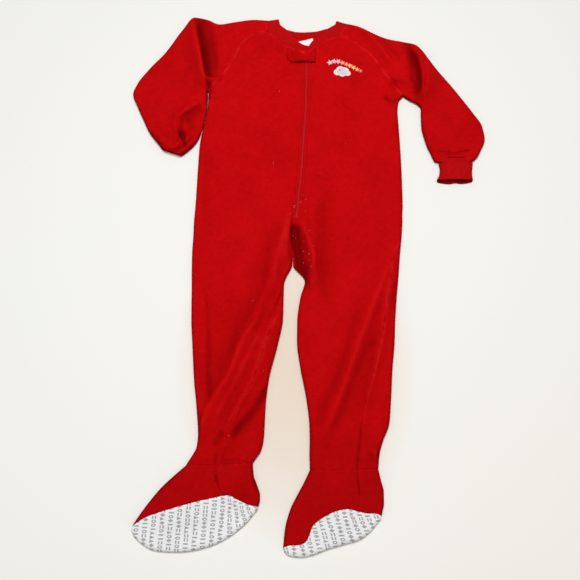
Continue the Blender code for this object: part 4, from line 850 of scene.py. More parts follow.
def mesh_from(name, points, quads, tris=None, uv=None, finish=None, painted_shading=None, flat=None):
    """A mesh in the row's frame from points in mm; uv is one pair for each point."""
    points = (np.asarray(points, float) - MIDDLE) / 1000.0
    quads = np.asarray(quads, np.int32).reshape(-1, 4)
    tris = np.zeros((0, 3), np.int32) if tris is None else np.asarray(tris, np.int32).reshape(-1, 3)
    loops = np.concatenate([quads.ravel(), tris.ravel()])
    starts = np.concatenate([np.arange(len(quads)) * 4, len(quads) * 4 + np.arange(len(tris)) * 3]).astype(np.int32)
    sizes = np.concatenate([np.full(len(quads), 4), np.full(len(tris), 3)]).astype(np.int32)
    mesh = bpy.data.meshes.new(name)
    mesh.vertices.add(len(points))
    mesh.vertices.foreach_set("co", points.astype(np.float32).ravel())
    mesh.loops.add(len(loops))
    mesh.loops.foreach_set("vertex_index", loops.astype(np.int32))
    mesh.polygons.add(len(starts))
    mesh.polygons.foreach_set("loop_start", starts)
    mesh.polygons.foreach_set("loop_total", sizes)
    mesh.update(calc_edges=True)
    if uv is not None:
        layer = mesh.uv_layers.new(name="cloth")
        layer.data.foreach_set("uv", np.asarray(uv, np.float32)[loops].ravel())
    mesh.shade_smooth()
    if flat is not None:
        hard = mesh.attributes.get("sharp_face") or mesh.attributes.new("sharp_face", "BOOLEAN", "FACE")
        hard.data.foreach_set("value", np.asarray(flat, bool))
    # the painted shade and highlight, stored for the cloth's colour
    if painted_shading is not None:
        shade = mesh.attributes.new("painted_shading", "FLOAT", "POINT")
        shade.data.foreach_set("value", np.asarray(painted_shading, np.float32))
    made = bpy.data.objects.new(name, mesh)
    ROOT.objects.link(made)
    if finish is not None:
        mesh.materials.append(FINISH[finish])
    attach(made, "root")
    return made


def volume_of(points, quads):
    p = points[quads]
    return (np.einsum("ij,ij->i", p[:, 0], np.cross(p[:, 1], p[:, 2]))
            + np.einsum("ij,ij->i", p[:, 0], np.cross(p[:, 2], p[:, 3]))).sum()


def grid_quads(n, m, base=0):
    i, j = np.meshgrid(np.arange(n - 1), np.arange(m - 1), indexing="ij")
    a = base + (i * m + j).ravel()
    return np.stack([a, a + m, a + m + 1, a + 1], 1)


def lengths(grid):
    """Arc length across and down a grid, in mm, as uv."""
    across = np.r_["1", np.zeros((grid.shape[0], 1)), np.cumsum(np.linalg.norm(np.diff(grid, axis=1), axis=2), axis=1)]
    across = across - across[:, across.shape[1] // 2][:, None]
    down = np.r_["0", np.zeros((1, grid.shape[1])), np.cumsum(np.linalg.norm(np.diff(grid, axis=0), axis=2), axis=0)]
    return np.stack([across, down], -1)


def shell(name, outer, inner, finish, edge=SEAM, rings=1, uv=None, shade=0.0):
    """A thin shell between two grids, with a rounded edge that stands edge mm proud of both all round."""
    n, m = outer.shape[:2]
    border = ([(i, 0) for i in range(n)] + [(n - 1, j) for j in range(1, m)]
              + [(i, m - 1) for i in range(n - 2, -1, -1)] + [(0, j) for j in range(m - 2, 0, -1)])
    bi, bj = np.array(border).T
    ii, jj = np.clip(bi, 1, n - 2), np.clip(bj, 1, m - 2)
    a, b = outer[bi, bj], inner[bi, bj]
    away = (a + b) / 2 - (outer[ii, jj] + inner[ii, jj]) / 2
    away -= ((away * (a - b)).sum(1) / np.maximum(((a - b) ** 2).sum(1), 1e-9))[:, None] * (a - b)
    away /= np.maximum(np.linalg.norm(away, axis=1), 1e-9)[:, None]
    edge = edge(bi, bj, n, m) * 1.0 if callable(edge) else np.full(len(border), float(edge))
    middle = []
    for k in range(1, rings + 1):
        angle = math.pi * k / (rings + 1)
        middle.append((a + b) / 2 + (a - b) / 2 * math.cos(angle) + away * edge[:, None] * math.sin(angle))
    points = np.vstack([outer.reshape(-1, 3), inner.reshape(-1, 3)] + middle)
    quads = [grid_quads(n, m), grid_quads(n, m, n * m)[:, ::-1]]
    count = len(border)
    first = bi * m + bj
    levels = [first] + [2 * n * m + k * count + np.arange(count) for k in range(rings)] + [n * m + first]
    for one, two in zip(levels[:-1], levels[1:]):
        quads.append(np.stack([np.roll(one, -1), one, two, np.roll(two, -1)], 1))
    walls = sum(len(q) for q in quads[2:])
    quads = np.vstack(quads)
    if volume_of(points, quads) < 0:
        quads = quads[:, ::-1]
    hard = np.zeros(len(quads), bool)
    if rings == 1:
        hard[len(quads) - walls:] = True   # a seam's edges stay crisp, so two pieces read as one cloth
    flat = lengths(outer) if uv is None else uv
    flat = flat.reshape(-1, 2)
    texture = np.vstack([flat, flat] + [flat[first]] * rings)
    # painted shade and highlight, weaker on the rib, plus the painted shade given
    dark = np.clip(creases(outer) * (0.25 if finish == "rib_red" else 1.0) + shade, -0.35, 1).reshape(-1)
    dark = np.concatenate([dark, dark] + [dark[first]] * rings)
    return mesh_from(name, points, quads, uv=texture / 1000.0, finish=finish, painted_shading=dark, flat=hard)


def creases(grid):
    """Painted shade at each point, up to 1: on steep slopes, in hollows, at the bottoms of dips and round fold edges;
    below 0, down to -0.35, a painted highlight on crests and along seams.
    """
    across, down = np.gradient(grid, axis=1), np.gradient(grid, axis=0)
    normal = np.cross(across, down)
    steep = 1 - np.abs(normal[..., 2]) / np.maximum(np.linalg.norm(normal, axis=-1), 1e-9)
    steep[0], steep[-1], steep[:, 0], steep[:, -1] = steep[2], steep[-3], steep[:, 2], steep[:, -3]
    upper = grid[..., 2] > 3.4
    x, y = grid[..., 0], grid[..., 1]
    deep = RELIEF.read(x, y, RELIEF.hollow) * upper
    pressed = RELIEF.read(x, y, RELIEF.pressed) * upper
    # painted shade down the crotch valley
    crotch_shade = np.exp(-(((x + 18 - 0.10 * (60 - y)) / (3.0 + 0.10 * (100 - y).clip(0))) ** 2)) * ease((106 - y) / 14) * ease((y - 10) / 20) * upper
    # painted shade in the crotch; also the cloth darker towards the feet, and a little darker further than 150 mm to
    # either side above y 150
    wear_and_painted_shade = 0.8 * crotch_shade + 0.26 * ease((-165 - y) / 150) + 0.08 * ease((np.abs(x + 10) - 150) / 40) * (y > 150)
    painted_highlight = RELIEF.read(x, y, RELIEF.painted_highlight) * upper
    # painted shade on slopes, in hollows and at the bottoms of dips, less a painted highlight on crests and along seams
    dark = CREASE_STEEP * steep + CREASE_DEEP * np.clip(deep - 0.25, 0, 3) + CREASE_DIP_SHADE * pressed + wear_and_painted_shade
    return np.clip(dark - CREASE_HIGHLIGHT * painted_highlight * np.clip(1 - 2.2 * steep, 0, 1), -0.35, 1)


# weights of the painted shade on slopes, in hollows and in dips, and of the painted highlight
CREASE_STEEP, CREASE_DEEP, CREASE_DIP_SHADE, CREASE_HIGHLIGHT = 1.5, 0.20, 0.14, 0.042


def fine_rows(limb, pitch, stop=None):
    """Stations down a limb, about pitch mm apart."""
    stop = limb.count - 1.0 if stop is None else stop
    fine = np.linspace(0, stop, 3000)
    edges = [limb.edge(which, fine) for which in (limb.first, limb.last)]
    step = sum(np.linalg.norm(np.diff(e, axis=0), axis=1) for e in edges) / 2 + 0.15 * pitch * np.diff(fine)
    run = np.r_[0, np.cumsum(step)]
    return np.interp(np.linspace(0, run[-1], int(run[-1] / pitch) + 1), run, fine)


def raise_low(limb, grid, t, off):
    """Lifts the lower layer of a grid by its seams' relief."""
    low = np.mod(t, 2.0) > 1
    a = np.where(low, 2 - np.mod(t, 2.0), 0)
    level = np.clip(a / ARC, 0, 1) * np.clip((1 - a) / ARC, 0, 1) * low
    grid = grid.copy()
    grid[..., 2] += under_relief(grid[..., 0], grid[..., 1]) * level
    return grid


def wall(name, limb, s, t, finish, ends=(0.0, 0.0), gather=None, **more):
    """A shell on a limb; ends is how far its first and last rows go on, to close their seams."""
    s = np.asarray(s, float)[:, None]
    sides = [raise_low(limb, limb.point(s, t, off), t, off) for off in (limb.half, -limb.half)]
    for side in sides:
        for row, within, by in ((0, 1, ends[0]), (-1, -2, ends[1])):
            step = side[row] - side[within]
            side[row] += by * step / np.maximum(np.linalg.norm(step, axis=-1), 1e-9)[:, None]
        if gather is not None:
            side[..., 1] += gather(s, t)
    return shell(name, *sides, finish, **more)


def cuff_seam(t):
    """How far the left cuff's seam is drawn up over the upper layer, between the sleeve's two low corners."""
    t = np.mod(t, 2.0)
    return 7.6 * ease((t - 0.10) / 0.12) * ease((0.90 - t) / 0.12) * (t < 1)


def seam_of(limb, s, t, sign):
    """t moved by half of what is left at a seam."""
    t = t + sign * 1e-6
    e = 1e-4 * sign
    speed = np.linalg.norm(limb.point(s, t + e, 0.0) - limb.point(s, t, 0.0), axis=-1) / 1e-4
    return t + sign * SEAM / np.maximum(speed, 1e-6)


def body_pieces(word, rows, limb):
    s = fine_rows(limb, 2.1)
    at = lambda key, s: smooth(np.arange(limb.count), rows[key], s)
    first = columns(FRONT_CORNER, EDGES, ALONG, OVER, False)
    t = blend(s, first, seam_of(limb, s, at("side_t", s), 1), seam_of(limb, s, at("inner_t", s), -1), 5.0)
    front = wall("cloth_front_" + word, limb, s, t, "fleece_red", ends=SEAM_ENDS)
    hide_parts("front_" + word)
    s = fine_rows(limb, 3.2)
    first = 2 - columns(BACK_CORNER, EDGES, ALONG_LOW, OVER, False)[::-1]
    t = blend(s, first, seam_of(limb, s, at("inner_t", s), 1), seam_of(limb, s, at("side_t", s) + 2, -1), 5.0)
    back = wall("cloth_back_" + word, limb, s, t, "fleece_red", ends=SEAM_ENDS)
    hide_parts("back_" + word)
    return front, back


def sleeve_columns():
    upper, lower = (columns(SLEEVE_CORNER, EDGES, along, NECK, True) for along in (ALONG, ALONG_LOW))
    return np.concatenate([upper, 2 - lower[::-1][1:]])


def sleeve_piece(word, limb):
    s = fine_rows(limb, 1.9)
    t = np.tile(sleeve_columns(), (len(s), 1))
    t[:, 0] = seam_of(limb, s, np.zeros(len(s)), 1)
    t[:, -1] = seam_of(limb, s, np.full(len(s), 2.0), -1)
    last = limb.count - 1.0
    gather = (lambda s, t: cuff_seam(t) * ease((s - last + 3.2) / 3.2)) if word == "left" else None
    made = wall("cloth_sleeve_" + word, limb, s, t, "fleece_red", ends=(SEAM_ENDS[0], 0.0), gather=gather, edge=SLEEVE_EDGE, rings=2)
    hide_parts("sleeve_" + word)
    return made


def SLEEVE_EDGE(bi, bj, n, m):
    """The sleeve's end is turned in, so it is round; its other borders are seams."""
    return np.where(bi == n - 1, 0.5, SEAM)


def cuff_piece(word, limb, turned):
    """A tube of fine rib: the knit's ribs are in the mesh."""
    s = fine_rows(limb, 0.9)
    count = 300
    t = spread(np.zeros(len(s)), np.full(len(s), 2.0), count, 2.2)
    grids = []
    for off in (limb.half, -limb.half):
        grid = limb.point(s[:, None], t, off)
        e = 1e-3
        along = limb.point(s[:, None], t + e, off) - limb.point(s[:, None], t - e, off)
        normal = np.cross(along, np.broadcast_to([0.0, 0.0, 1.0], along.shape))
        across = np.cross(along, limb.point(np.clip(s[:, None] + 1e-3, 0, limb.count - 1), t, off)
                          - limb.point(np.clip(s[:, None] - 1e-3, 0, limb.count - 1), t, off))
        across /= np.maximum(np.linalg.norm(across, axis=-1), 1e-12)[..., None]
        out = limb.point(s[:, None], t, limb.half) - limb.point(s[:, None], t, -limb.half)
        across *= np.sign((across * out).sum(-1))[..., None]
        if off > 0:
            rib = np.sin(np.arange(count) * 2 * np.pi / 6.0)
            fade = np.clip((s / s[-1]) / 0.12, 0, 1) * np.clip((1 - s / s[-1]) / 0.12, 0, 1)
            low = np.clip(grid[..., 2] / 1.2, 0, 1)
            grid = grid + across * (0.16 * rib[None, :] * (0.35 + 0.65 * fade[:, None]) - 0.12)[..., None] * low[..., None]
            lump = 0.25 * waves(grid[..., 0], grid[..., 1], 9, 31)
            grid[..., 2] += lump * (grid[..., 2] > 4)
        if not turned:   # the back of the opening hangs out in two shallow lobes
            low = np.mod(t, 2.0) > 1
            u = np.where(low, 2 - np.mod(t, 2.0), 0)
            drop = np.clip(np.sin(np.pi * u), 0, 1) ** 0.55 * (1 - 0.30 * np.exp(-(((u - 0.52) / 0.10) ** 2)))
            end = np.clip((s / s[-1] - 0.5) / 0.5, 0, 1)[:, None] ** 2
            grid[..., 1] += cuff_seam(t) * ease(1 - s / s[-1] * 1.2)[:, None]
            grid[..., 1] -= 5.6 * drop * end * low
            grid[..., 2] += 1.5 * np.sin(np.pi * np.clip(t, 0, 1)) * end * ~low
            # painted shade in the opening, lighter in its middle, along the two fold edges and near the seam with the
            # sleeve
            opening_shade = 0.95 * (drop > 0) * low * end * (1 - 0.75 * np.exp(-(((u - 0.46) / 0.07) ** 2)))
            side = 0.16 * np.exp(-((np.minimum(np.abs(t - 0.02), np.abs(t - 0.98)) / 0.05) ** 2))
            painted_shading = opening_shade + side + 0.10 * np.exp(-((s[:, None] / s[-1] - 0.1) / 0.12) ** 2) * ~low
        else:
            # the turned cuff lies inside the sleeve, so it is painted darker all over
            painted_shading = 0.35
        grids.append(grid)
    made = shell("cloth_cuff_" + word, *grids, "rib_red", shade=painted_shading, edge=lambda bi, bj, n, m: np.where(bi == n - 1, 0.9, 0.1), rings=3)
    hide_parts("cuff_" + word)
    return made


def band(limbs, count=15):
    sides = []
    for off in (HALF, -HALF):
        one, across_one = band_side(limbs["body_right"], limbs["sleeve_right"], BAND, off)
        two, across_two = band_side(limbs["body_left"], limbs["sleeve_left"], BAND_OTHER, off)
        points = np.vstack([one, two[::-1][1:]])
        across = np.vstack([across_one, across_two[::-1][1:]])
        width = np.linalg.norm(across, axis=1)
        unit = across / width[:, None]
        grid = np.repeat(points[:, None], count, axis=1)
        for j in range(count):
            share = j / (count - 1)
            grid[:, j, :2] += unit * 0.12 + across * share
        sides.append(grid)
    outer, inner = sides
    run = np.r_[0, np.cumsum(np.linalg.norm(np.diff(outer[:, 0], axis=0), axis=1))]
    # the band is folded double, so it stands a little round on the side that shows
    share = np.linspace(0, 1, count)[None, :]
    crown = 0.6 * np.sin(np.pi * np.minimum(share * 0.62 + 0.30 * share**2, 1.0)) ** 0.8
    crown = crown + 0.12 * waves(run[:, None] + 0 * outer[..., 0], outer[..., 2] * 0 + 3, 7, 33) * np.sin(np.pi * share)
    front = ease(((outer[..., 2] + inner[..., 2]) / 2 - 2.8) / 1.6)
    outer[..., 2] += crown * front
    inner[..., 2] += crown * (1 - front)
    made = shell("cloth_neck_band", outer, inner, "rib_red", edge=lambda bi, bj, n, m: np.where(bj == m - 1, 0.95, 0.1), rings=3)
    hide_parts("neck_band")
    return made


def foot_pieces(word, rows, limb, edge, names):
    s = fine_rows(limb, 1.7)
    at = lambda key: smooth(np.arange(limb.count), rows[key], s)
    seam, back = at("seam_t"), at("back_t")
    one = spread(seam_of(limb, s, back, 1), seam_of(limb, s, seam, -1), 86)
    two = spread(seam_of(limb, s, seam, 1), seam_of(limb, s, back + 2, -1), 86)
    made = [wall("cloth_" + names[0] + "_" + word, limb, s, one, "fleece_red", ends=SEAM_ENDS),
            wall("cloth_" + names[1] + "_" + word, limb, s, two, "fleece_red", ends=SEAM_ENDS)]
    for piece, name in zip(made, names):
        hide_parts(name + "_" + word)
    sole = Sole(limb, edge)
    t = spread(np.array([0.03]), np.array([0.97]), 190, 2.0).T
    v = np.concatenate([np.linspace(0, 0.6, 24), np.linspace(0.6, 1.4, 26)[1:], np.linspace(1.4, 2.0, 16)[1:]])[None, :]
    sides = [sole.point(t, v, HALF), sole.point(t, v, -HALF)]
    upper = np.clip((1 - v) / 0.12, 0, 1) * np.clip(v / 0.05, 0, 1)
    for side in sides:
        side[..., 2] += sole_relief(word, side[..., 0], side[..., 1]) * upper
    outer = sides[0]
    uv = PRINT[word](outer[..., 0], outer[..., 1], v + 0 * outer[..., 0])
    cover = shell("cloth_sole_" + word, *sides, "sole_fabric", uv=uv)
    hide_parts("sole_" + word)
    return made + [cover]


def sole_relief(word, x, y):
    """Soft pleats and wrinkles of the printed cloth."""
    z = 0.35 * waves(x, y, 16, 41, 1.5, 90) + 0.22 * waves(x, y, 8, 42, 1.8, 80) + 0.08 * waves(x, y, 3.5, 43)
    flat = z.reshape(-1)
    for where_word, points, height, one, other in SOLE_PLEATS:
        if where_word != word:
            continue
        line = line_through(points, 20)
        where, away, side, along, length = near_line(line, x, y, 2.6 * max(one, other))
        share = along / length
        fade = ease(share / 0.3) * ease((1 - share) / 0.3)
        flat[where] += height * fade * np.exp(-((away / np.where(side > 0, other, one)) ** 2))
    return z


def dashes(name, lines, finish, length=2.3, gap=1.1, radius=0.24, sink=0.12):
    """Rows of stitches on the upper layer: each a small rounded bar, all in one mesh."""
    around, stations = 6, np.array([0.0, 0.18, 0.5, 0.82, 1.0])
    thick = np.array([0.25, 0.85, 1.0, 0.85, 0.25]) * radius
    drop = np.array([-0.35, -0.1, 0.0, -0.1, -0.35]) * radius * 2
    centres = []
    for line in lines:
        run = np.r_[0, np.cumsum(np.linalg.norm(np.diff(line, axis=0), axis=1))]
        starts = np.arange(0.5, run[-1] - length, length + gap)
        for start in starts:
            at = start + stations * length
            centres.append(np.stack([np.interp(at, run, line[:, k]) for k in (0, 1)], 1))
    centres = np.array(centres)
    top = on_top(centres[..., 0], centres[..., 1], radius - sink)
    return bars(name, top + np.stack([0 * drop, 0 * drop, drop], -1), thick, around, finish)


def bars(name, centres, thick, around, finish):
    """Small rounded bars along rows of points (bar, station, 3), joined into one mesh."""
    count, k = centres.shape[:2]
    along = np.gradient(centres, axis=1)
    along /= np.linalg.norm(along, axis=-1)[..., None]
    across = np.cross(along, [0.0, 0.0, 1.0])
    across /= np.maximum(np.linalg.norm(across, axis=-1), 1e-9)[..., None]
    up = np.cross(across, along)
    angle = np.arange(around) * 2 * np.pi / around
    thick = np.broadcast_to(thick, (count, k))
    ring = (across[:, :, None] * np.cos(angle)[:, None] + up[:, :, None] * np.sin(angle)[:, None]) * thick[..., None, None]
    points = (centres[:, :, None] + ring).reshape(-1, 3)
    base = (np.arange(count) * k * around)[:, None, None]
    i, j = np.meshgrid(np.arange(k - 1), np.arange(around), indexing="ij")
    a, b = i * around + j, i * around + (j + 1) % around
    quads = np.stack([a, b, b + around, a + around], -1)[None] + base[..., None]
    tris = []
    for start, flip in ((0, True), ((k - 1) * around, False)):
        for j in range(1, around - 1):
            face = [start, start + j, start + j + 1]
            tris.append(face[::-1] if flip else face)
    tris = np.array(tris)[None] + (np.arange(count) * k * around)[:, None, None]
    quads = quads.reshape(-1, 4)
    if volume_of(points, quads) < 0:
        quads, tris = quads[:, ::-1], tris[..., ::-1]
    return mesh_from(name, points, quads, tris.reshape(-1, 3), finish=finish)


def moved(line, by):
    """A line beside another one."""
    along = np.gradient(line, axis=0)
    along /= np.maximum(np.linalg.norm(along, axis=1), 1e-9)[:, None]
    return line + by * np.stack([along[:, 1], -along[:, 0]], 1)


def zip_pieces():
    """The two tapes with their coil, its teeth meeting down the middle."""
    line = line_through(ZIP + ((-20, 108.5),), 270)
    line = line[line[:, 1] < 392]
    across = np.array([-9.0, -6.0, -3.2, -2.2, -2.0, -1.7, -0.8, 0.0, 0.8, 1.7, 2.0, 2.2, 3.2, 6.0, 9.0])
    lift = np.array([0, 0, 0, 0, 1.4, 2.35, 2.7, 2.62, 2.7, 2.35, 1.4, 0, 0, 0, 0])
    x, y = line[:, :1] + across, line[:, 1:] + 0 * across
    bed = rise(x, y) - HALF - TAPE_DROP
    rows = np.stack([x, y, bed + lift * ease((line[:, 1:] - 109) / 8)], -1)
    below = rows.copy()
    below[..., 2] = bed - 0.8
    tape = shell("cloth_zip_tape", rows, below, "zip_red", edge=0.2, rings=1)
    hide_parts("zip_tape")
    run = np.r_[0, np.cumsum(np.linalg.norm(np.diff(line, axis=0), axis=1))]
    centres = []
    for k, at in enumerate(np.arange(1.0, run[-1] - 9.0, 0.75)):
        x, y = np.interp(at, run, line[:, 0]), np.interp(at, run, line[:, 1])
        side = 1 if k % 2 else -1
        reach = np.array([-1.55, -1.2, -0.2, 0.35]) * side
        px, py = x + reach, y + 0.06 * reach
        z = rise(px, py) - HALF - TAPE_DROP + 2.78 + np.array([-0.75, -0.1, 0.0, -0.12])
        centres.append(np.stack([px, py, z], 1))
    teeth = bars("zip_teeth", np.array(centres), np.array([0.22, 0.36, 0.4, 0.22]), 6, "zip_red")
    # dense stitching closes the zip's lower end
    tack = []
    for k in range(13):
        px, py = -19.3 - 3.4 + 0.57 * k + np.zeros(4), 112.2 + np.array([-1.6, -0.9, 0.9, 1.6])
        tack.append(np.stack([px, py, rise(px, py) + SURFACE + np.array([-0.35, 0.3, 0.3, -0.35])], 1))
    tack = bars("zip_bartack", np.array(tack), np.array([0.15, 0.33, 0.33, 0.15]), 6, "zip_red")
    return tape, teeth, tack


def guard_piece():
    """The padded tab over the top of the zip, with a sewn channel round its border."""
    u = np.linspace(0, 1, 72)[:, None]
    v = np.linspace(0, 1, 44)[None, :]
    sides, base = [], None
    for off in (GUARD_WALL / 2, -GUARD_WALL / 2):
        e = np.abs(2 * v - 1)
        round_end = 7.5 * e**3.2
        x = GUARD_LEFT + round_end + (GUARD_RIGHT - GUARD_LEFT - round_end) * u
        top = GUARD_TOP_LEFT + (GUARD_TOP_RIGHT - GUARD_TOP_LEFT) * u
        foot = GUARD_FOOT + 0.8 * np.sin(3.0 * u)
        y = foot + (top - foot) * v
        lift = GUARD_LIFT * np.exp(-(((x - SLIDER_AT[0] + 3) / 17.0) ** 4)) * (1 - 0.25 * (2 * v - 1) ** 2)
        deep = np.minimum(np.minimum(v, 1 - v) * (top - foot), (x - GUARD_LEFT - round_end))
        if off > 0:
            puff = 0.95 * ease(deep / 3.6) - 0.8 * np.exp(-(((deep - 4.6) / 0.9) ** 2)) + 0.55 * ease((deep - 5) / 5)
            puff = puff + 0.22 * waves(x, y, 7, 51) + 0.12 * waves(x, y, 3.4, 52)
            puff = puff - 0.5
        else:
            puff = 0 * deep
        flat = base_rise(x, y)
        z = flat + HALF + GUARD_CLEAR + GUARD_WALL / 2 + lift + off + puff + 0 * v
        sides.append(np.stack(np.broadcast_arrays(x, y, z), -1))
        if off > 0:
            base = (x, y, z)
    made = shell("cloth_zip_guard", *sides, "fleece_red", edge=1.0, rings=3)
    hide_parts("zip_guard")
    # stitches lie in the channel
    outer = sides[0]
    lines = []
    inset = 4.6
    top_row = [outer[i, np.argmin(np.abs((1 - np.linspace(0, 1, 44)) * 27 - inset))] for i in range(8, 70)]
    low_row = [outer[i, np.argmin(np.abs(np.linspace(0, 1, 44) * 27 - inset))] for i in range(8, 70)]
    end_row = [outer[8, j] for j in range(8, 37)]
    for row in (top_row, low_row, end_row):
        lines.append(np.array(row))
    centres = []
    for line in lines:
        run = np.r_[0, np.cumsum(np.linalg.norm(np.diff(line, axis=0), axis=1))]
        for start in np.arange(0.3, run[-1] - 2.2, 3.2):
            at = start + np.array([0, 0.4, 1.1, 1.8, 2.2])
            row = np.stack([np.interp(at, run, line[:, k]) for k in range(3)], 1)
            row[:, 2] += np.array([-0.1, 0.1, 0.16, 0.1, -0.1])
            centres.append(row)
    thread = bars("guard_stitching", np.array(centres), np.array([0.1, 0.22, 0.25, 0.22, 0.1]), 6, "zip_red")
    return made, thread


def label_piece():
    corners = np.array(LABEL)
    u, v = np.linspace(0, 1, 40)[:, None, None], np.linspace(0, 1, 26)[None, :, None]
    plan = (corners[0] * (1 - u) + corners[1] * u) * (1 - v) + (corners[3] * (1 - u) + corners[2] * u) * v
    base = 2 * LOW + GAP + LABEL_WALL / 2
    curl = 0.8 * (1 - np.clip(v * 3, 0, 1)) ** 2 + 0.35 * (2 * u - 1) ** 2 + 0.12 * np.sin(7 * u)
    sides = [np.concatenate([plan, np.broadcast_to(base + off + curl, plan.shape[:2] + (1,))], -1) for off in (0.28, -0.28)]
    made = shell("cloth_neck_label", *sides, "label_white", edge=0.12, rings=2)
    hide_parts("neck_label")
    return made


# ---------------------------------------------------------------- the embroidery: a plain cloud under an arch of stars
def star(radius, points=5, inner=0.58, turn=0.0):
    angle = np.pi / 2 + turn + np.arange(points * 2) * np.pi / points
    r = np.where(np.arange(points * 2) % 2, inner, 1.0) * radius
    return np.stack([r * np.cos(angle), r * np.sin(angle)], 1)


def patch(name, outlines, finish, height=0.75, rings=5):
    """Raised satin stitch inside closed outlines in plan: each dome is high in the middle and meets the cloth at its rim."""
    points, quads, tris = [], [], []
    total = 0
    for outline in outlines:
        outline = np.asarray(outline, float)
        middle = outline.mean(0)
        m = len(outline)
        start = total
        for k in range(rings):
            share = 1 - k / rings
            ring = middle + (outline - middle) * share
            lift = height * math.sin(min(1.0, (1 - share) * 2.2) * math.pi / 2)
            points.append(on_top(ring[:, 0], ring[:, 1], lift - 0.12))
        points.append(on_top(middle[:1], middle[1:], height - 0.12))
        for k in range(rings - 1):
            for j in range(m):
                a, b = start + k * m + j, start + k * m + (j + 1) % m
                quads.append((a, b, b + m, a + m))
        last = start + (rings - 1) * m
        for j in range(m):
            tris.append((last + j, last + (j + 1) % m, last + m))
        # a base under the rim closes the patch
        base = on_top(outline[:, 0], outline[:, 1], -0.35)
        points.append(base)
        low = last + m + 1
        for j in range(m):
            quads.append((low + j, low + (j + 1) % m, start + (j + 1) % m, start + j))
        centre = on_top(middle[:1], middle[1:], -0.35)
        points.append(centre)
        for j in range(m):
            tris.append((low + (j + 1) % m, low + j, low + m))
        total = low + m + 1
    made = mesh_from(name, np.vstack(points), np.array(quads), np.array(tris), finish=None)
    made.data.materials.append(THREAD[finish])
    return made


def cloud_outline(cx, cy, sx, sy, puffs, count=120):
    """The outline of a few overlapping rounds with a flat foot."""
    angle = np.linspace(0, 2 * np.pi, count, endpoint=False)
    out = []
    for a in angle:
        direction = np.array([math.cos(a), math.sin(a)])
        best = 0.0
        for px, py, r in puffs:
            p = np.array([px, py])
            b = direction @ p
            c = p @ p - r * r
            root = b * b - c
            if root > 0:
                best = max(best, b + math.sqrt(root))
        out.append(direction * best)
    out = np.array(out)
    return out * (sx, sy) + (cx, cy)


def embroidery():
    made = []
    tilt = math.radians(-7)
    turn = np.array([[math.cos(tilt), -math.sin(tilt)], [math.sin(tilt), math.cos(tilt)]])
    puffs = ((-0.55, -0.15, 0.42), (-0.2, 0.25, 0.5), (0.3, 0.2, 0.46), (0.65, -0.12, 0.36), (0.05, -0.25, 0.42))
    centre = np.array(CLOUD_AT)
    rim = cloud_outline(0, 0, 14.5, 12.5, puffs) @ turn.T
    body = rim * 0.78
    made.append(patch("embroidered_cloud_rim", [rim + centre], "white", 0.8, 7))
    made.append(patch("embroidered_cloud", [body + centre + (0.2, 0.2)], "grey", 1.25, 7))
    drops = [star(1.5, 4, 0.5) + centre + d for d in ((3.8, 2.2), (6.8, -2.6), (-1.0, -3.6))]
    made.append(patch("embroidered_sparks", drops, "white", 1.6, 3))
    dot = [np.stack([1.7 * np.cos(a := np.linspace(0, 2 * np.pi, 14, endpoint=False)), 1.7 * np.sin(a)], 1) + centre + (-3.6, 2.6)]
    made.append(patch("embroidered_dot", dot, "navy", 1.65, 3))
    for k, (x, y, radius, colour, spin) in enumerate(STARS):
        made.append(patch("embroidered_star_%d" % (k + 1), [star(radius, 5, 0.5, spin) + (x, y)], colour, 0.95, 4))
    return made


# x, y, half width, half length, turn, height, spacing of the small puckers in that place
PUCKERS = (
    (-14, 112, 18, 34, 8, 0.9, 5.0),
    (-8, 62, 14, 40, 0, 0.8, 6.0),
    (-190, 262, 22, 22, 30, 1.6, 9.0),
    (-218, 240, 24, 16, 20, 1.8, 8.0),
    (-60, 396, 26, 14, 30, 0.9, 7.0),
    (150, 330, 28, 20, 0, 0.9, 10.0),
    (-160, 330, 22, 30, 80, 0.9, 9.0),
    (238, 208, 34, 12, 0, 0.8, 7.0),
    (-150, -262, 44, 16, 0, 0.9, 9.0),
    (92, -246, 22, 22, 0, 1.0, 8.0),
    (30, -262, 30, 14, 0, 0.7, 8.0),
    (0, 0, 26, 60, 10, 0.7, 9.0),
)
SOLE_PLEATS = (
    ("right", ((-125, -309), (-112, -322), (-104, -346)), -1.3, 2.6, 3.6),
    ("right", ((-118, -308), (-103, -319), (-95, -335)), 1.1, 3.0, 2.4),
    ("left", ((52, -327), (62, -342), (66, -362)), -1.3, 2.4, 2.4),
    ("left", ((60, -329), (69, -342), (72, -360)), 1.1, 2.0, 2.0),
    ("left", ((68, -329), (77, -341), (80, -355)), -1.2, 2.2, 2.2),
    ("left", ((4, -350), (12, -366), (12, -380)), -0.9, 3.0, 3.0),
)
PRINT = {
    "right": lambda x, y, v: np.stack([x + (0.55 * ease((x + 128) / 45) - 0.08) * (y + 345), y + 0.02 * x + 4 * (v > 1)], -1),
    "left": lambda x, y, v: np.stack([x + (0.26 + 0.25 * ease((x - 45) / 40)) * (y + 350), y - 0.05 * x + 4 * (v > 1)], -1),
}
CLOUD_AT = (54.0, 351.0)
# x, y, size, colour, turn
STARS = (
    (34.5, 366.5, 5.4, "rose", 0.3), (41.2, 368.6, 5.0, "rose", -0.1), (48.0, 368.2, 5.2, "rose", 0.5),
    (54.6, 366.2, 4.8, "coral", 0.1), (60.8, 363.8, 4.6, "coral", -0.3), (66.6, 361.2, 4.7, "amber", 0.2),
    (72.4, 358.2, 4.7, "amber", 0.5), (78.0, 355.0, 4.5, "amber", -0.1), (83.4, 352.4, 3.6, "orange", 0.2),
)


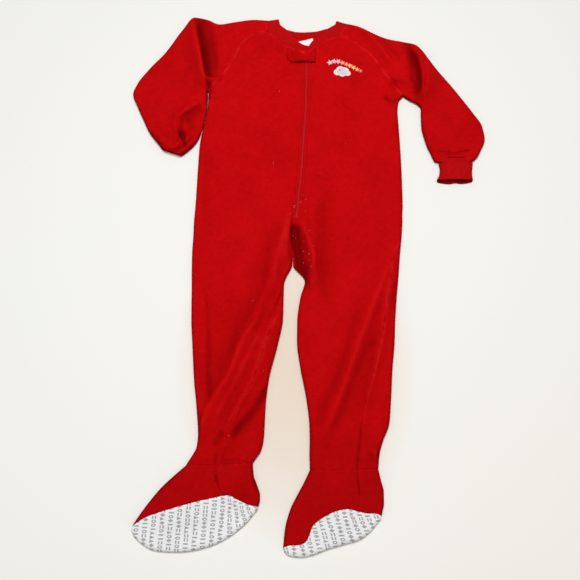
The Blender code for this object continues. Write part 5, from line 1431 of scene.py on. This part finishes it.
# ---------------------------------------------------------------- materials
class Value:
    """A socket that can be added, multiplied and compared, each step a Math node."""

    def __init__(self, tree, socket):
        self.tree, self.socket = tree, socket

    def math(self, kind, *others):
        node = self.tree.nodes.new("ShaderNodeMath")
        node.operation = kind
        for k, v in enumerate((self, *others)):
            if isinstance(v, Value):
                self.tree.links.new(v.socket, node.inputs[k])
            else:
                node.inputs[k].default_value = v
        return Value(self.tree, node.outputs[0])

    def __add__(self, o): return self.math("ADD", o)
    def __sub__(self, o): return self.math("SUBTRACT", o)
    def __mul__(self, o): return self.math("MULTIPLY", o)
    def __truediv__(self, o): return self.math("DIVIDE", o)
    def __lt__(self, o): return self.math("LESS_THAN", o)
    def __gt__(self, o): return self.math("GREATER_THAN", o)
    def abs(self): return self.math("ABSOLUTE")
    def floor(self): return self.math("FLOOR")
    def low(self, o): return self.math("MINIMUM", o)
    def high(self, o): return self.math("MAXIMUM", o)


class Finish:
    """A Principled material and the nodes in front of it."""

    def __init__(self, name, roughness, metallic=0.0, sheen=0.0, sheen_roughness=0.5, sheen_tint=(1, 1, 1), specular=0.5):
        self.made = bpy.data.materials.new(name)
        self.made.use_nodes = True
        self.tree = self.made.node_tree
        self.shader = self.tree.nodes["Principled BSDF"]
        self.shader.inputs["Roughness"].default_value = roughness
        self.shader.inputs["Metallic"].default_value = metallic
        self.shader.inputs["Specular IOR Level"].default_value = specular
        self.shader.inputs["Sheen Weight"].default_value = sheen
        self.shader.inputs["Sheen Roughness"].default_value = sheen_roughness
        self.shader.inputs["Sheen Tint"].default_value = (*sheen_tint, 1.0)
        self.place = self.tree.nodes.new("ShaderNodeTexCoord")

    def noise(self, per_metre, detail=2.0, rough=0.5, stretch=None, source="Object"):
        node = self.tree.nodes.new("ShaderNodeTexNoise")
        node.inputs["Scale"].default_value = per_metre
        node.inputs["Detail"].default_value = detail
        node.inputs["Roughness"].default_value = rough
        vector = self.place.outputs[source]
        if stretch is not None:
            scale = self.tree.nodes.new("ShaderNodeMapping")
            scale.inputs["Scale"].default_value = stretch
            self.tree.links.new(vector, scale.inputs["Vector"])
            vector = scale.outputs["Vector"]
        self.tree.links.new(vector, node.inputs["Vector"])
        return Value(self.tree, node.outputs[0])

    def uv(self):
        """The cloth's own coordinates, in metres across and down."""
        split = self.tree.nodes.new("ShaderNodeSeparateXYZ")
        self.tree.links.new(self.place.outputs["UV"], split.inputs[0])
        return Value(self.tree, split.outputs[0]), Value(self.tree, split.outputs[1])

    def at(self):
        split = self.tree.nodes.new("ShaderNodeSeparateXYZ")
        self.tree.links.new(self.place.outputs["Object"], split.inputs[0])
        return [Value(self.tree, split.outputs[k]) for k in range(3)]

    def attribute(self, name):
        node = self.tree.nodes.new("ShaderNodeAttribute")
        node.attribute_name = name
        return Value(self.tree, node.outputs["Fac"])

    def mix(self, factor, one, two):
        node = self.tree.nodes.new("ShaderNodeMix")
        node.data_type = "RGBA"
        for socket, v in ((node.inputs[0], factor), (node.inputs[6], one), (node.inputs[7], two)):
            if isinstance(v, Value):
                self.tree.links.new(v.socket, socket)
            elif isinstance(v, tuple):
                socket.default_value = (*v, 1.0)
            else:
                socket.default_value = v
        return Value(self.tree, node.outputs[2])

    def scale(self, value, by):
        node = self.tree.nodes.new("ShaderNodeVectorMath")
        node.operation = "SCALE"
        self.tree.links.new(value.socket, node.inputs[0])
        self.tree.links.new(by.socket, node.inputs["Scale"])
        return Value(self.tree, node.outputs[0])

    def colour(self, value):
        self.tree.links.new(value.socket, self.shader.inputs["Base Color"])

    def rough(self, value):
        self.tree.links.new(value.socket, self.shader.inputs["Roughness"])

    def bump(self, height, distance, strength=1.0):
        node = self.tree.nodes.new("ShaderNodeBump")
        node.inputs["Distance"].default_value = distance
        node.inputs["Strength"].default_value = strength
        self.tree.links.new(height.socket, node.inputs["Height"])
        self.tree.links.new(node.outputs["Normal"], self.shader.inputs["Normal"])


def fleece(name, dark, light, warm):
    """Napped fleece: clumps of pile, finer pile over them, and broad soft changes of shade."""
    f = Finish(name, 0.92, sheen=FLEECE_SHEEN, sheen_roughness=0.5, sheen_tint=(1.0, 0.02, 0.02), specular=0.012)
    broad, clump, pile, fibre = f.noise(24, 2), f.noise(150, 3, 0.55), f.noise(520, 2, 0.6), f.noise(1500, 2, 0.6)
    shade = broad * 0.35 + clump * 0.42 + pile * 0.45 + fibre * 0.28
    shade = (shade - 0.42) * 1.5
    shade = shade.high(0.0).low(1.0)
    base = f.mix(shade, dark, light)
    # random patches of a warmer tone
    wear_and_painted_shade = ((f.noise(9, 1) - 0.45) * 1.6).high(0.0).low(1.0)
    base = f.mix(wear_and_painted_shade * 0.35, base, warm)
    painted_shading = f.attribute("painted_shading")
    # painted highlight where painted_shading is below 0, on crests and along seams, and painted shade where it is above
    # 0, on slopes and in creases and hollows
    base = f.mix((painted_shading * -1.0).high(0.0), base, (min(light[0] * 1.5, 0.98), light[1] * 3.0 + 0.02, light[2] * 3.0 + 0.02))
    f.colour(f.mix((painted_shading * CREASE_SHADE).high(0.0), base, (dark[0] * 0.22, dark[1] * 0.3, dark[2] * 0.3)))
    f.bump(clump * 0.5 + pile * 0.38 + fibre * 0.2, 0.0011, 0.5)
    return f.made


def rib(name, dark, light, pitch=0.0):
    """Knitted rib: fine loops down each rib."""
    f = Finish(name, 0.86, sheen=0.05, sheen_roughness=0.5, sheen_tint=(1.0, 0.05, 0.05), specular=0.04)
    u, v = f.uv()
    loops = (v * (2 * math.pi / 0.0013)).math("SINE") * 0.5 + 0.5
    line = (u * (2 * math.pi / 0.0021)).math("SINE") * 0.5 + 0.5
    clump, fibre = f.noise(170, 2), f.noise(1300, 2, 0.6)
    shade = (clump * 0.45 + fibre * 0.35 + line * 0.22 + loops * 0.12 - 0.12).high(0.0).low(1.0)
    base = f.mix(shade, dark, light)
    # painted shade from the painted_shading attribute
    f.colour(f.mix((f.attribute("painted_shading") * CREASE_SHADE).high(0.0), base, (dark[0] * 0.2, dark[1] * 0.3, dark[2] * 0.3)))
    f.bump(line * 0.5 + loops * 0.22 + fibre * 0.25, 0.0006, 0.6)
    return f.made


def nylon(name, dark, light):
    """Woven zip tape and moulded coil, a little shiny."""
    f = Finish(name, 0.62, specular=0.10)
    weave = (f.at()[1] * (2 * math.pi / 0.0007)).math("SINE") * 0.5 + 0.5
    fibre = f.noise(900, 2)
    f.colour(f.mix((weave * 0.35 + fibre * 0.6).low(1.0), dark, light))
    f.rough(fibre * 0.2 + 0.5)
    f.bump(weave * 0.5 + fibre * 0.5, 0.0002, 0.4)
    return f.made


def painted_metal(name, base, wear_and_painted_shade):
    f = Finish(name, 0.38, metallic=0.35)
    scratch = f.noise(420, 4, 0.6, (1, 0.15, 1))
    patch_ = ((f.noise(260, 3) - 0.55) * 6).high(0.0).low(1.0)
    f.colour(f.mix(patch_ * 0.5, base, wear_and_painted_shade))
    f.rough(scratch * 0.3 + 0.25)
    f.bump(scratch, 0.0001, 0.3)
    return f.made


def printed_sole(name):
    """White non-slip cloth with columns of small grey marks: dots, diamonds, bars, pairs and wedges."""
    f = Finish(name, 0.72, specular=0.3, sheen=0.1)
    u, v = f.uv()
    column = (u / 0.0122).floor()
    across = u / 0.0122 - column - 0.5
    run = v / 0.0056 + column * 0.37
    cell = run.floor()
    a = run - cell - 0.5
    b = across * (0.0122 / 0.0074)
    place = f.tree.nodes.new("ShaderNodeCombineXYZ")
    f.tree.links.new(column.socket, place.inputs[0])
    f.tree.links.new(cell.socket, place.inputs[1])
    white = f.tree.nodes.new("ShaderNodeTexWhiteNoise")
    white.noise_dimensions = "2D"
    f.tree.links.new(place.outputs[0], white.inputs["Vector"])
    pick = Value(f.tree, white.outputs["Value"])
    ab, bb = a.abs(), b.abs()
    diamond = (ab * 1.0 + bb * 0.9) < 0.49
    dot = ((a * a + b * b * 0.72) < 0.175) * ((a * a + b * b * 0.72) > 0.028)
    bar = (ab < 0.20) * (bb < 0.5)
    pair = (ab < 0.40) * ((bb - 0.29).abs() < 0.15)
    wedge = ((b + 0.47) > 0.0) * ((b + ab * 2.1) < 0.50)
    shapes = (diamond, dot, bar, pair, wedge)
    mark = None
    for k, shape in enumerate(shapes):
        chosen = (pick > (k / 5.0)) * (pick < ((k + 1) / 5.0)) * shape
        mark = chosen if mark is None else mark + chosen
    faded = (f.noise(260, 3, 0.6) * 0.8 + 0.45).low(1.0)
    mark = (mark * faded).high(0.0).low(1.0)
    cloth, weave = f.noise(60, 3), f.noise(1200, 2, 0.6)
    ground = f.mix((cloth * 0.6 + weave * 0.4).low(1.0), (0.80, 0.80, 0.82), (0.95, 0.945, 0.95))
    f.colour(f.mix(mark * 0.86, ground, SOLE_GREY))
    thread = (u * (2 * math.pi / 0.0009)).math("SINE") * (v * (2 * math.pi / 0.0009)).math("SINE")
    f.bump(thread * 0.25 + weave * 0.5 + mark * 0.12, 0.0005, 0.5)
    return f.made


def satin(name, dark, light):
    """Rayon stitching: fine parallel threads with a soft gloss."""
    f = Finish(name, 0.38, specular=0.5, sheen=0.15)
    x, y, _ = f.at()
    thread = ((x * 0.86 + y * 0.5) * (2 * math.pi / 0.0006)).math("SINE") * 0.5 + 0.5
    streak = f.noise(700, 2, 0.5, (1, 0.4, 1))
    f.colour(f.mix((thread * 0.35 + streak * 0.6).low(1.0), dark, light))
    f.bump(thread * 0.7 + streak * 0.4, 0.0003, 0.6)
    return f.made


def label_cloth(name):
    f = Finish(name, 0.5, specular=0.4, sheen=0.1)
    x, y, _ = f.at()
    weave = ((x * 1.0) * (2 * math.pi / 0.0005)).math("SINE") * 0.5 + 0.5
    cloud = f.noise(120, 2)
    f.colour(f.mix((weave * 0.3 + cloud * 0.6).low(1.0), (0.80, 0.76, 0.76), (0.93, 0.91, 0.91)))
    f.bump(weave, 0.00015, 0.5)
    return f.made


FLEECE_SHEEN = 0.06
CREASE_SHADE = 0.75
SOLE_GREY = (0.235, 0.235, 0.25)
FINISH = {
    "fleece_red": fleece("scene_fleece_red", (0.34, 0.0012, 0.0020), (0.58, 0.0030, 0.0045), (0.54, 0.0040, 0.0055)),
    "rib_red": rib("scene_rib_red", (0.32, 0.0014, 0.0022), (0.56, 0.0036, 0.0052)),
    "zip_red": nylon("scene_zip_red", (0.40, 0.003, 0.005), (0.66, 0.014, 0.018)),
    "zip_metal": painted_metal("scene_zip_metal", (0.45, 0.012, 0.014), (0.55, 0.45, 0.42)),
    "sole_fabric": printed_sole("scene_sole_fabric"),
    "label_white": label_cloth("scene_label_white"),
}
THREAD = {
    "white": satin("thread_white", (0.80, 0.55, 0.57), (0.97, 0.80, 0.81)),
    "grey": satin("thread_grey", (0.42, 0.47, 0.58), (0.70, 0.74, 0.82)),
    "navy": satin("thread_navy", (0.06, 0.08, 0.16), (0.14, 0.17, 0.28)),
    "rose": satin("thread_rose", (0.80, 0.40, 0.42), (0.98, 0.66, 0.66)),
    "coral": satin("thread_coral", (0.80, 0.26, 0.19), (0.95, 0.42, 0.30)),
    "amber": satin("thread_amber", (0.85, 0.38, 0.12), (0.98, 0.60, 0.22)),
    "orange": satin("thread_orange", (0.80, 0.16, 0.08), (0.93, 0.28, 0.14)),
}

# ---------------------------------------------------------------- building
for row, change in ((8, (1.0, 0, 0, 0)), (9, (1.8, 0, 0, 0)), (10, (3.0, 0, 0, 0)), (11, (3.6, -0.5, 0, 0)), (12, (4.4, -1.5, 0, 0)),
                    (13, (4.6, -3.5, -0.5, -2.0)), (14, (3.8, -5.6, 1.5, -6.0)), (15, (3.4, -7.6, 3.6, -11.0))):
    for key, by in zip(SLEEVE_COLUMNS.split(), change):
        SLEEVE_RIGHT[key][row] += by
for row, change in ((5, (0, 0, 1.4, 1.2)), (6, (0, 0, 2.0, 1.4)), (7, (-0.8, 0, 2.0, 1.4)), (8, (-1.4, 0, 1.8, 1.2)),
                    (9, (-1.8, 0, 1.0, 0.5)), (10, (-1.8, 0, 0, 0)), (11, (-1.4, 0, 0, 0))):
    for key, by in zip(SLEEVE_COLUMNS.split(), change):
        SLEEVE_LEFT[key][row] += by
for row, place in enumerate(((203.0, 200.0, 256.8, 200.6), (204.7, 190.5, 255.4, 190.5), (203.6, 181.0, 254.9, 181.0), (199.4, 173.2, 255.9, 173.8))):
    for key, at in zip(SLEEVE_COLUMNS.split(), place):
        CUFF_LEFT[key][row] = at
LIMBS = make_limbs()


def limb_line(limb, ts, start=0.0, stop=None, count=90):
    """The plan of a line down a limb, t given by station."""
    stop = limb.count - 1.0 if stop is None else stop
    s = np.linspace(start, stop, count)
    t = smooth(np.arange(limb.count), ts, s)
    return limb_xy(limb, s, t)


def limb_xy(limb, s, t):
    kept = (limb.top, limb.half)
    limb.top = lambda x, y: np.full(np.shape(x), TOP)
    out = limb.point(s, t, 0.0)[:, :2]
    limb.top, limb.half = kept
    return out


def add_seams():
    """Every seam line that the upper layer shows, then those of the lower layer."""
    for word, raglan, neck in (("right", RAGLAN_FRONT_RIGHT, NECK_SEAM_RIGHT), ("left", RAGLAN_FRONT_LEFT, NECK_SEAM_LEFT)):
        sign = 1 if word == "right" else -1
        left, right = (0.75, 0.35) if sign > 0 else (0.35, 0.75)
        SEAMS.append((line_through(raglan, 120), -0.32, left * 0.2, -0.25, 0.24))
        SEAMS.append((line_through(neck, 80), -0.1, 0.1, 0.2, 0.16))
    SEAMS.append((line_through(SLEEVE_NECK_RIGHT, 30), 0.1, 0.1, 0.1, 0.1))
    SEAMS.append((line_through(SLEEVE_NECK_LEFT, 30), 0.1, 0.1, 0.1, 0.1))
    # leg seams that have turned on to the upper side
    right, left = LIMBS["body_right"], LIMBS["body_left"]
    SEAMS.append((limb_line(right, BODY_RIGHT["inner_t"], 12.3), -0.35, -0.1, 0.0, 0.22))
    SEAMS.append((limb_line(left, BODY_LEFT["side_t"], 9.3), -0.15, -0.1, 0.1, 0.22))
    # ankles, and the seam between vamp and heel
    for word, rows in (("right", FOOT_RIGHT), ("left", FOOT_LEFT)):
        limb = LIMBS["foot_" + word]
        SEAMS.append((limb_xy(limb, np.zeros(80), np.linspace(0.02, 0.98, 80)), -0.12, 0.05, 0.05, 0.16))
        SEAMS.append((limb_line(limb, rows["seam_t"]), 0.1, 0.2, 0.2, 0.20))
        SEAMS.append((moved(limb_xy(limb, np.full(90, limb.count - 1.0), np.linspace(0.02, 0.98, 90)), 0.0), 0.5, 0.5, 0.5, 0.30))
    # the zip's stitched stand, both sides
    zip_line = line_through(ZIP, 200)
    SEAMS.append((moved(zip_line, 7.6), 0.35, 0.40, 0.25, 0.12))
    SEAMS.append((moved(zip_line, -7.6), 0.35, 0.25, 0.40, 0.12))
    # the lower layer
    for raglan in (RAGLAN_BACK_RIGHT, RAGLAN_BACK_LEFT):
        LOW_SEAMS.append((line_through(raglan, 60), 0.7))
    centre = np.stack([np.interp(np.linspace(0, 11, 60), np.arange(20), BODY_RIGHT["centre_x"]),
                       np.interp(np.linspace(0, 11, 60), np.arange(20), BODY_RIGHT["centre_y"])], 1)
    centre[0] = BACK_NECK_MIDDLE
    LOW_SEAMS.append((centre, 0.7))


add_seams()
RELIEF = Relief()

fronts, soft = {}, []
for word, rows in (("right", BODY_RIGHT), ("left", BODY_LEFT)):
    front, back = body_pieces(word, rows, LIMBS["body_" + word])
    fronts[word] = front
    sleeve_made = sleeve_piece(word, LIMBS["sleeve_" + word])
    cuff_made = cuff_piece(word, LIMBS["cuff_" + word], word == "right")
    names = ("vamp", "heel") if word == "right" else ("heel", "vamp")
    feet = foot_pieces(word, FOOT_RIGHT if word == "right" else FOOT_LEFT, LIMBS["foot_" + word],
                       SOLE_EDGE_RIGHT if word == "right" else SOLE_EDGE_LEFT, names)
    soft += [front, back, sleeve_made, cuff_made, *feet]
band_made = band(LIMBS)
tape, teeth, tack = zip_pieces()
guard, guard_thread = guard_piece()
label_made = label_piece()
soft += [band_made, tape, guard, label_made]
motif = embroidery()

for name in ("zip_slider", "zip_pull"):
    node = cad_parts[name]
    node.data.materials.clear()
    node.data.materials.append(FINISH["zip_metal"])


def visible(line, start=0.0, stop=1.0):
    n = len(line)
    return line[int(n * start):max(int(n * stop), int(n * start) + 2)]


zip_line = line_through(ZIP, 220)
under_guard = zip_line[:, 1] < GUARD_FOOT - 1
stitch_lines = [moved(zip_line, 7.6)[under_guard], moved(zip_line, -7.6)[under_guard]]
stitch_lines.append(np.array([[13.6, 366.0], [14.2, 392.0]]))
stitch_lines.append(visible(moved(line_through(NECK_SEAM_RIGHT, 80), -1.9), 0.02, 0.62))
stitch_lines.append(visible(moved(line_through(NECK_SEAM_LEFT, 80), 1.9), 0.02, 0.78))
topstitch = dashes("topstitching", stitch_lines, "zip_red")


def lint():
    """A few pale fibres and crumbs of pile caught in the nap."""
    centres, thick = [], []
    for k in range(38):
        r = [float(lattice(np.int64(k), np.int64(q), 77)) for q in range(6)]
        if k < 20:
            x, y = -12 + 20 * r[0], 88 + 62 * r[1]
        else:
            x, y = -60 + 150 * r[0], 40 + 300 * r[1]
            if x > -40 and y < 40:
                continue
        angle, length = math.pi * r[2], 1.0 + 0.8 * abs(r[3])
        run = np.linspace(-0.5, 0.5, 4) * length
        px = x + run * math.cos(angle) + 0.25 * r[4] * np.sin(run * 3)
        py = y + run * math.sin(angle)
        centres.append(on_top(px, py, 0.12))
        thick.append(np.array([0.05, 0.10, 0.10, 0.05]) * (1 + 0.4 * r[5]))
    made = bars("lint", np.array(centres), np.array(thick), 5, None)
    made.data.materials.append(THREAD["white"])
    return made


specks = lint()

# ---------------------------------------------------------------- what each sheet was cut to, width and length in metres, and its area
CUTS = {
    "cloth_front_right": (0.178, 0.69, 0.0885),
    "cloth_back_right": (0.178, 0.69, 0.096),
    "cloth_sleeve_right": (0.3, 0.225, 0.0495),
    "cloth_cuff_right": (0.058, 0.02, 0.0011),
    "cloth_vamp_right": (0.14, 0.11, 0.0092),
    "cloth_heel_right": (0.14, 0.11, 0.01),
    "cloth_sole_right": (0.186, 0.11, 0.0163),
    "cloth_front_left": (0.178, 0.69, 0.0925),
    "cloth_back_left": (0.178, 0.69, 0.0995),
    "cloth_sleeve_left": (0.27, 0.215, 0.04),
    "cloth_cuff_left": (0.115, 0.032, 0.00345),
    "cloth_heel_left": (0.125, 0.12, 0.0107),
    "cloth_vamp_left": (0.125, 0.12, 0.0104),
    "cloth_sole_left": (0.148, 0.085, 0.008),
    "cloth_neck_band": (0.016, 0.33, 0.0045),
    "cloth_zip_tape": (0.02, 0.275, 0.0054),
    "cloth_zip_guard": (0.03, 0.046, 0.00135),
    "cloth_neck_label": (0.028, 0.028, 0.00074),
}
WITH = {"cloth_front_left": [*motif, topstitch], "cloth_front_right": [specks], "cloth_zip_guard": [guard_thread],
        "cloth_zip_tape": [teeth, tack]}
for piece in soft:
    if piece.name in CUTS:
        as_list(WITH.get(piece.name, []))
    else:
        mesh = piece.data
        total = sum(p.area for p in mesh.polygons)
        print("CUT", piece.name, round(total / 2, 5), [round(v, 4) for v in piece.dimensions], len(mesh.polygons) * 2)

# ---------------------------------------------------------------- floor, light, camera
floor_mesh = bpy.data.meshes.new("floor")
floor_mesh.from_pydata([(-4, -4, -0.0002), (4, -4, -0.0002), (4, 4, -0.0002), (-4, 4, -0.0002)], [], [(0, 1, 2, 3)])
floor = bpy.data.objects.new("floor", floor_mesh)
ROOT.objects.link(floor)
ground = Finish("floor_sheet", 0.95, specular=0.1)
gx, gy, _ = ground.at()
warm = ((gx * 0.9 - gy * 1.1 + 0.35) * 0.75).high(0.0).low(1.0)
cloud = ground.noise(2.2, 2)
# painted light: the floor darker towards the top and lighter towards the bottom, which evens out the lamp's falloff
level = ((gy * -0.22) + 1.0).high(0.90).low(1.09)
pale = ground.mix((warm * 0.6 + (cloud - 0.5) * 0.3).high(0.0).low(1.0), (0.845, 0.845, 0.82), (0.84, 0.805, 0.755))
near = ((gx + 0.02) * (gx + 0.02) * 30.0 + (gy + 0.14) * (gy + 0.14) * 14.0) * -1.0 + 1.0   # painted shadow and warm reflection of the cloth on the floor between the legs
shade = ground.mix(near.high(0.0).low(1.0) * 0.85, pale, (0.76, 0.62, 0.50))
ground.colour(ground.scale(shade, level))
ground.bump(ground.noise(420, 3, 0.6), 0.0006, 0.25)
floor_mesh.materials.append(ground.made)

WORLD_SIDE, WORLD_TOP = 0.22, 0.62
world = bpy.data.worlds.new("studio")
bpy.context.scene.world = world
world.use_nodes = True
sky = world.node_tree
back = sky.nodes["Background"]
back.inputs["Color"].default_value = (1.0, 0.995, 0.985, 1.0)
coords, split = sky.nodes.new("ShaderNodeTexCoord"), sky.nodes.new("ShaderNodeSeparateXYZ")
sky.links.new(coords.outputs["Generated"], split.inputs[0])
height = Value(sky, split.outputs[2]).high(0.0)
strength = height * height * (WORLD_TOP - WORLD_SIDE) + WORLD_SIDE   # brighter overhead than round the horizon
sky.links.new(strength.socket, back.inputs["Strength"])


def lamp(name, place, aim, size, power, colour):
    light = bpy.data.lights.new(name, "AREA")
    light.shape, light.size = "DISK", size
    light.energy, light.color = power, colour
    made = bpy.data.objects.new(name, light)
    made.location = place
    direction = np.array(aim, float) - np.array(place, float)
    from mathutils import Vector
    made.rotation_euler = Vector(direction).to_track_quat("-Z", "Y").to_euler()
    made.visible_camera = False
    ROOT.objects.link(made)


lamp("overhead", (-0.05, 0.75, 2.1), (0.0, 0.05, 0.0), 0.9, 37, (1.0, 0.995, 0.98))

camera = bpy.data.objects.new("camera", bpy.data.cameras.new("camera"))
camera.data.lens, camera.data.sensor_width, camera.data.sensor_fit = 50.0, 36.0, "AUTO"
camera.location = (-0.0285, -0.0286 - 1.2277 * math.sin(math.radians(10)), 1.2277 * math.cos(math.radians(10)))
camera.rotation_euler = (math.radians(10), 0.0, 0.0)
ROOT.objects.link(camera)
bpy.context.scene.camera = camera
bpy.context.scene.view_settings.view_transform = "Standard"
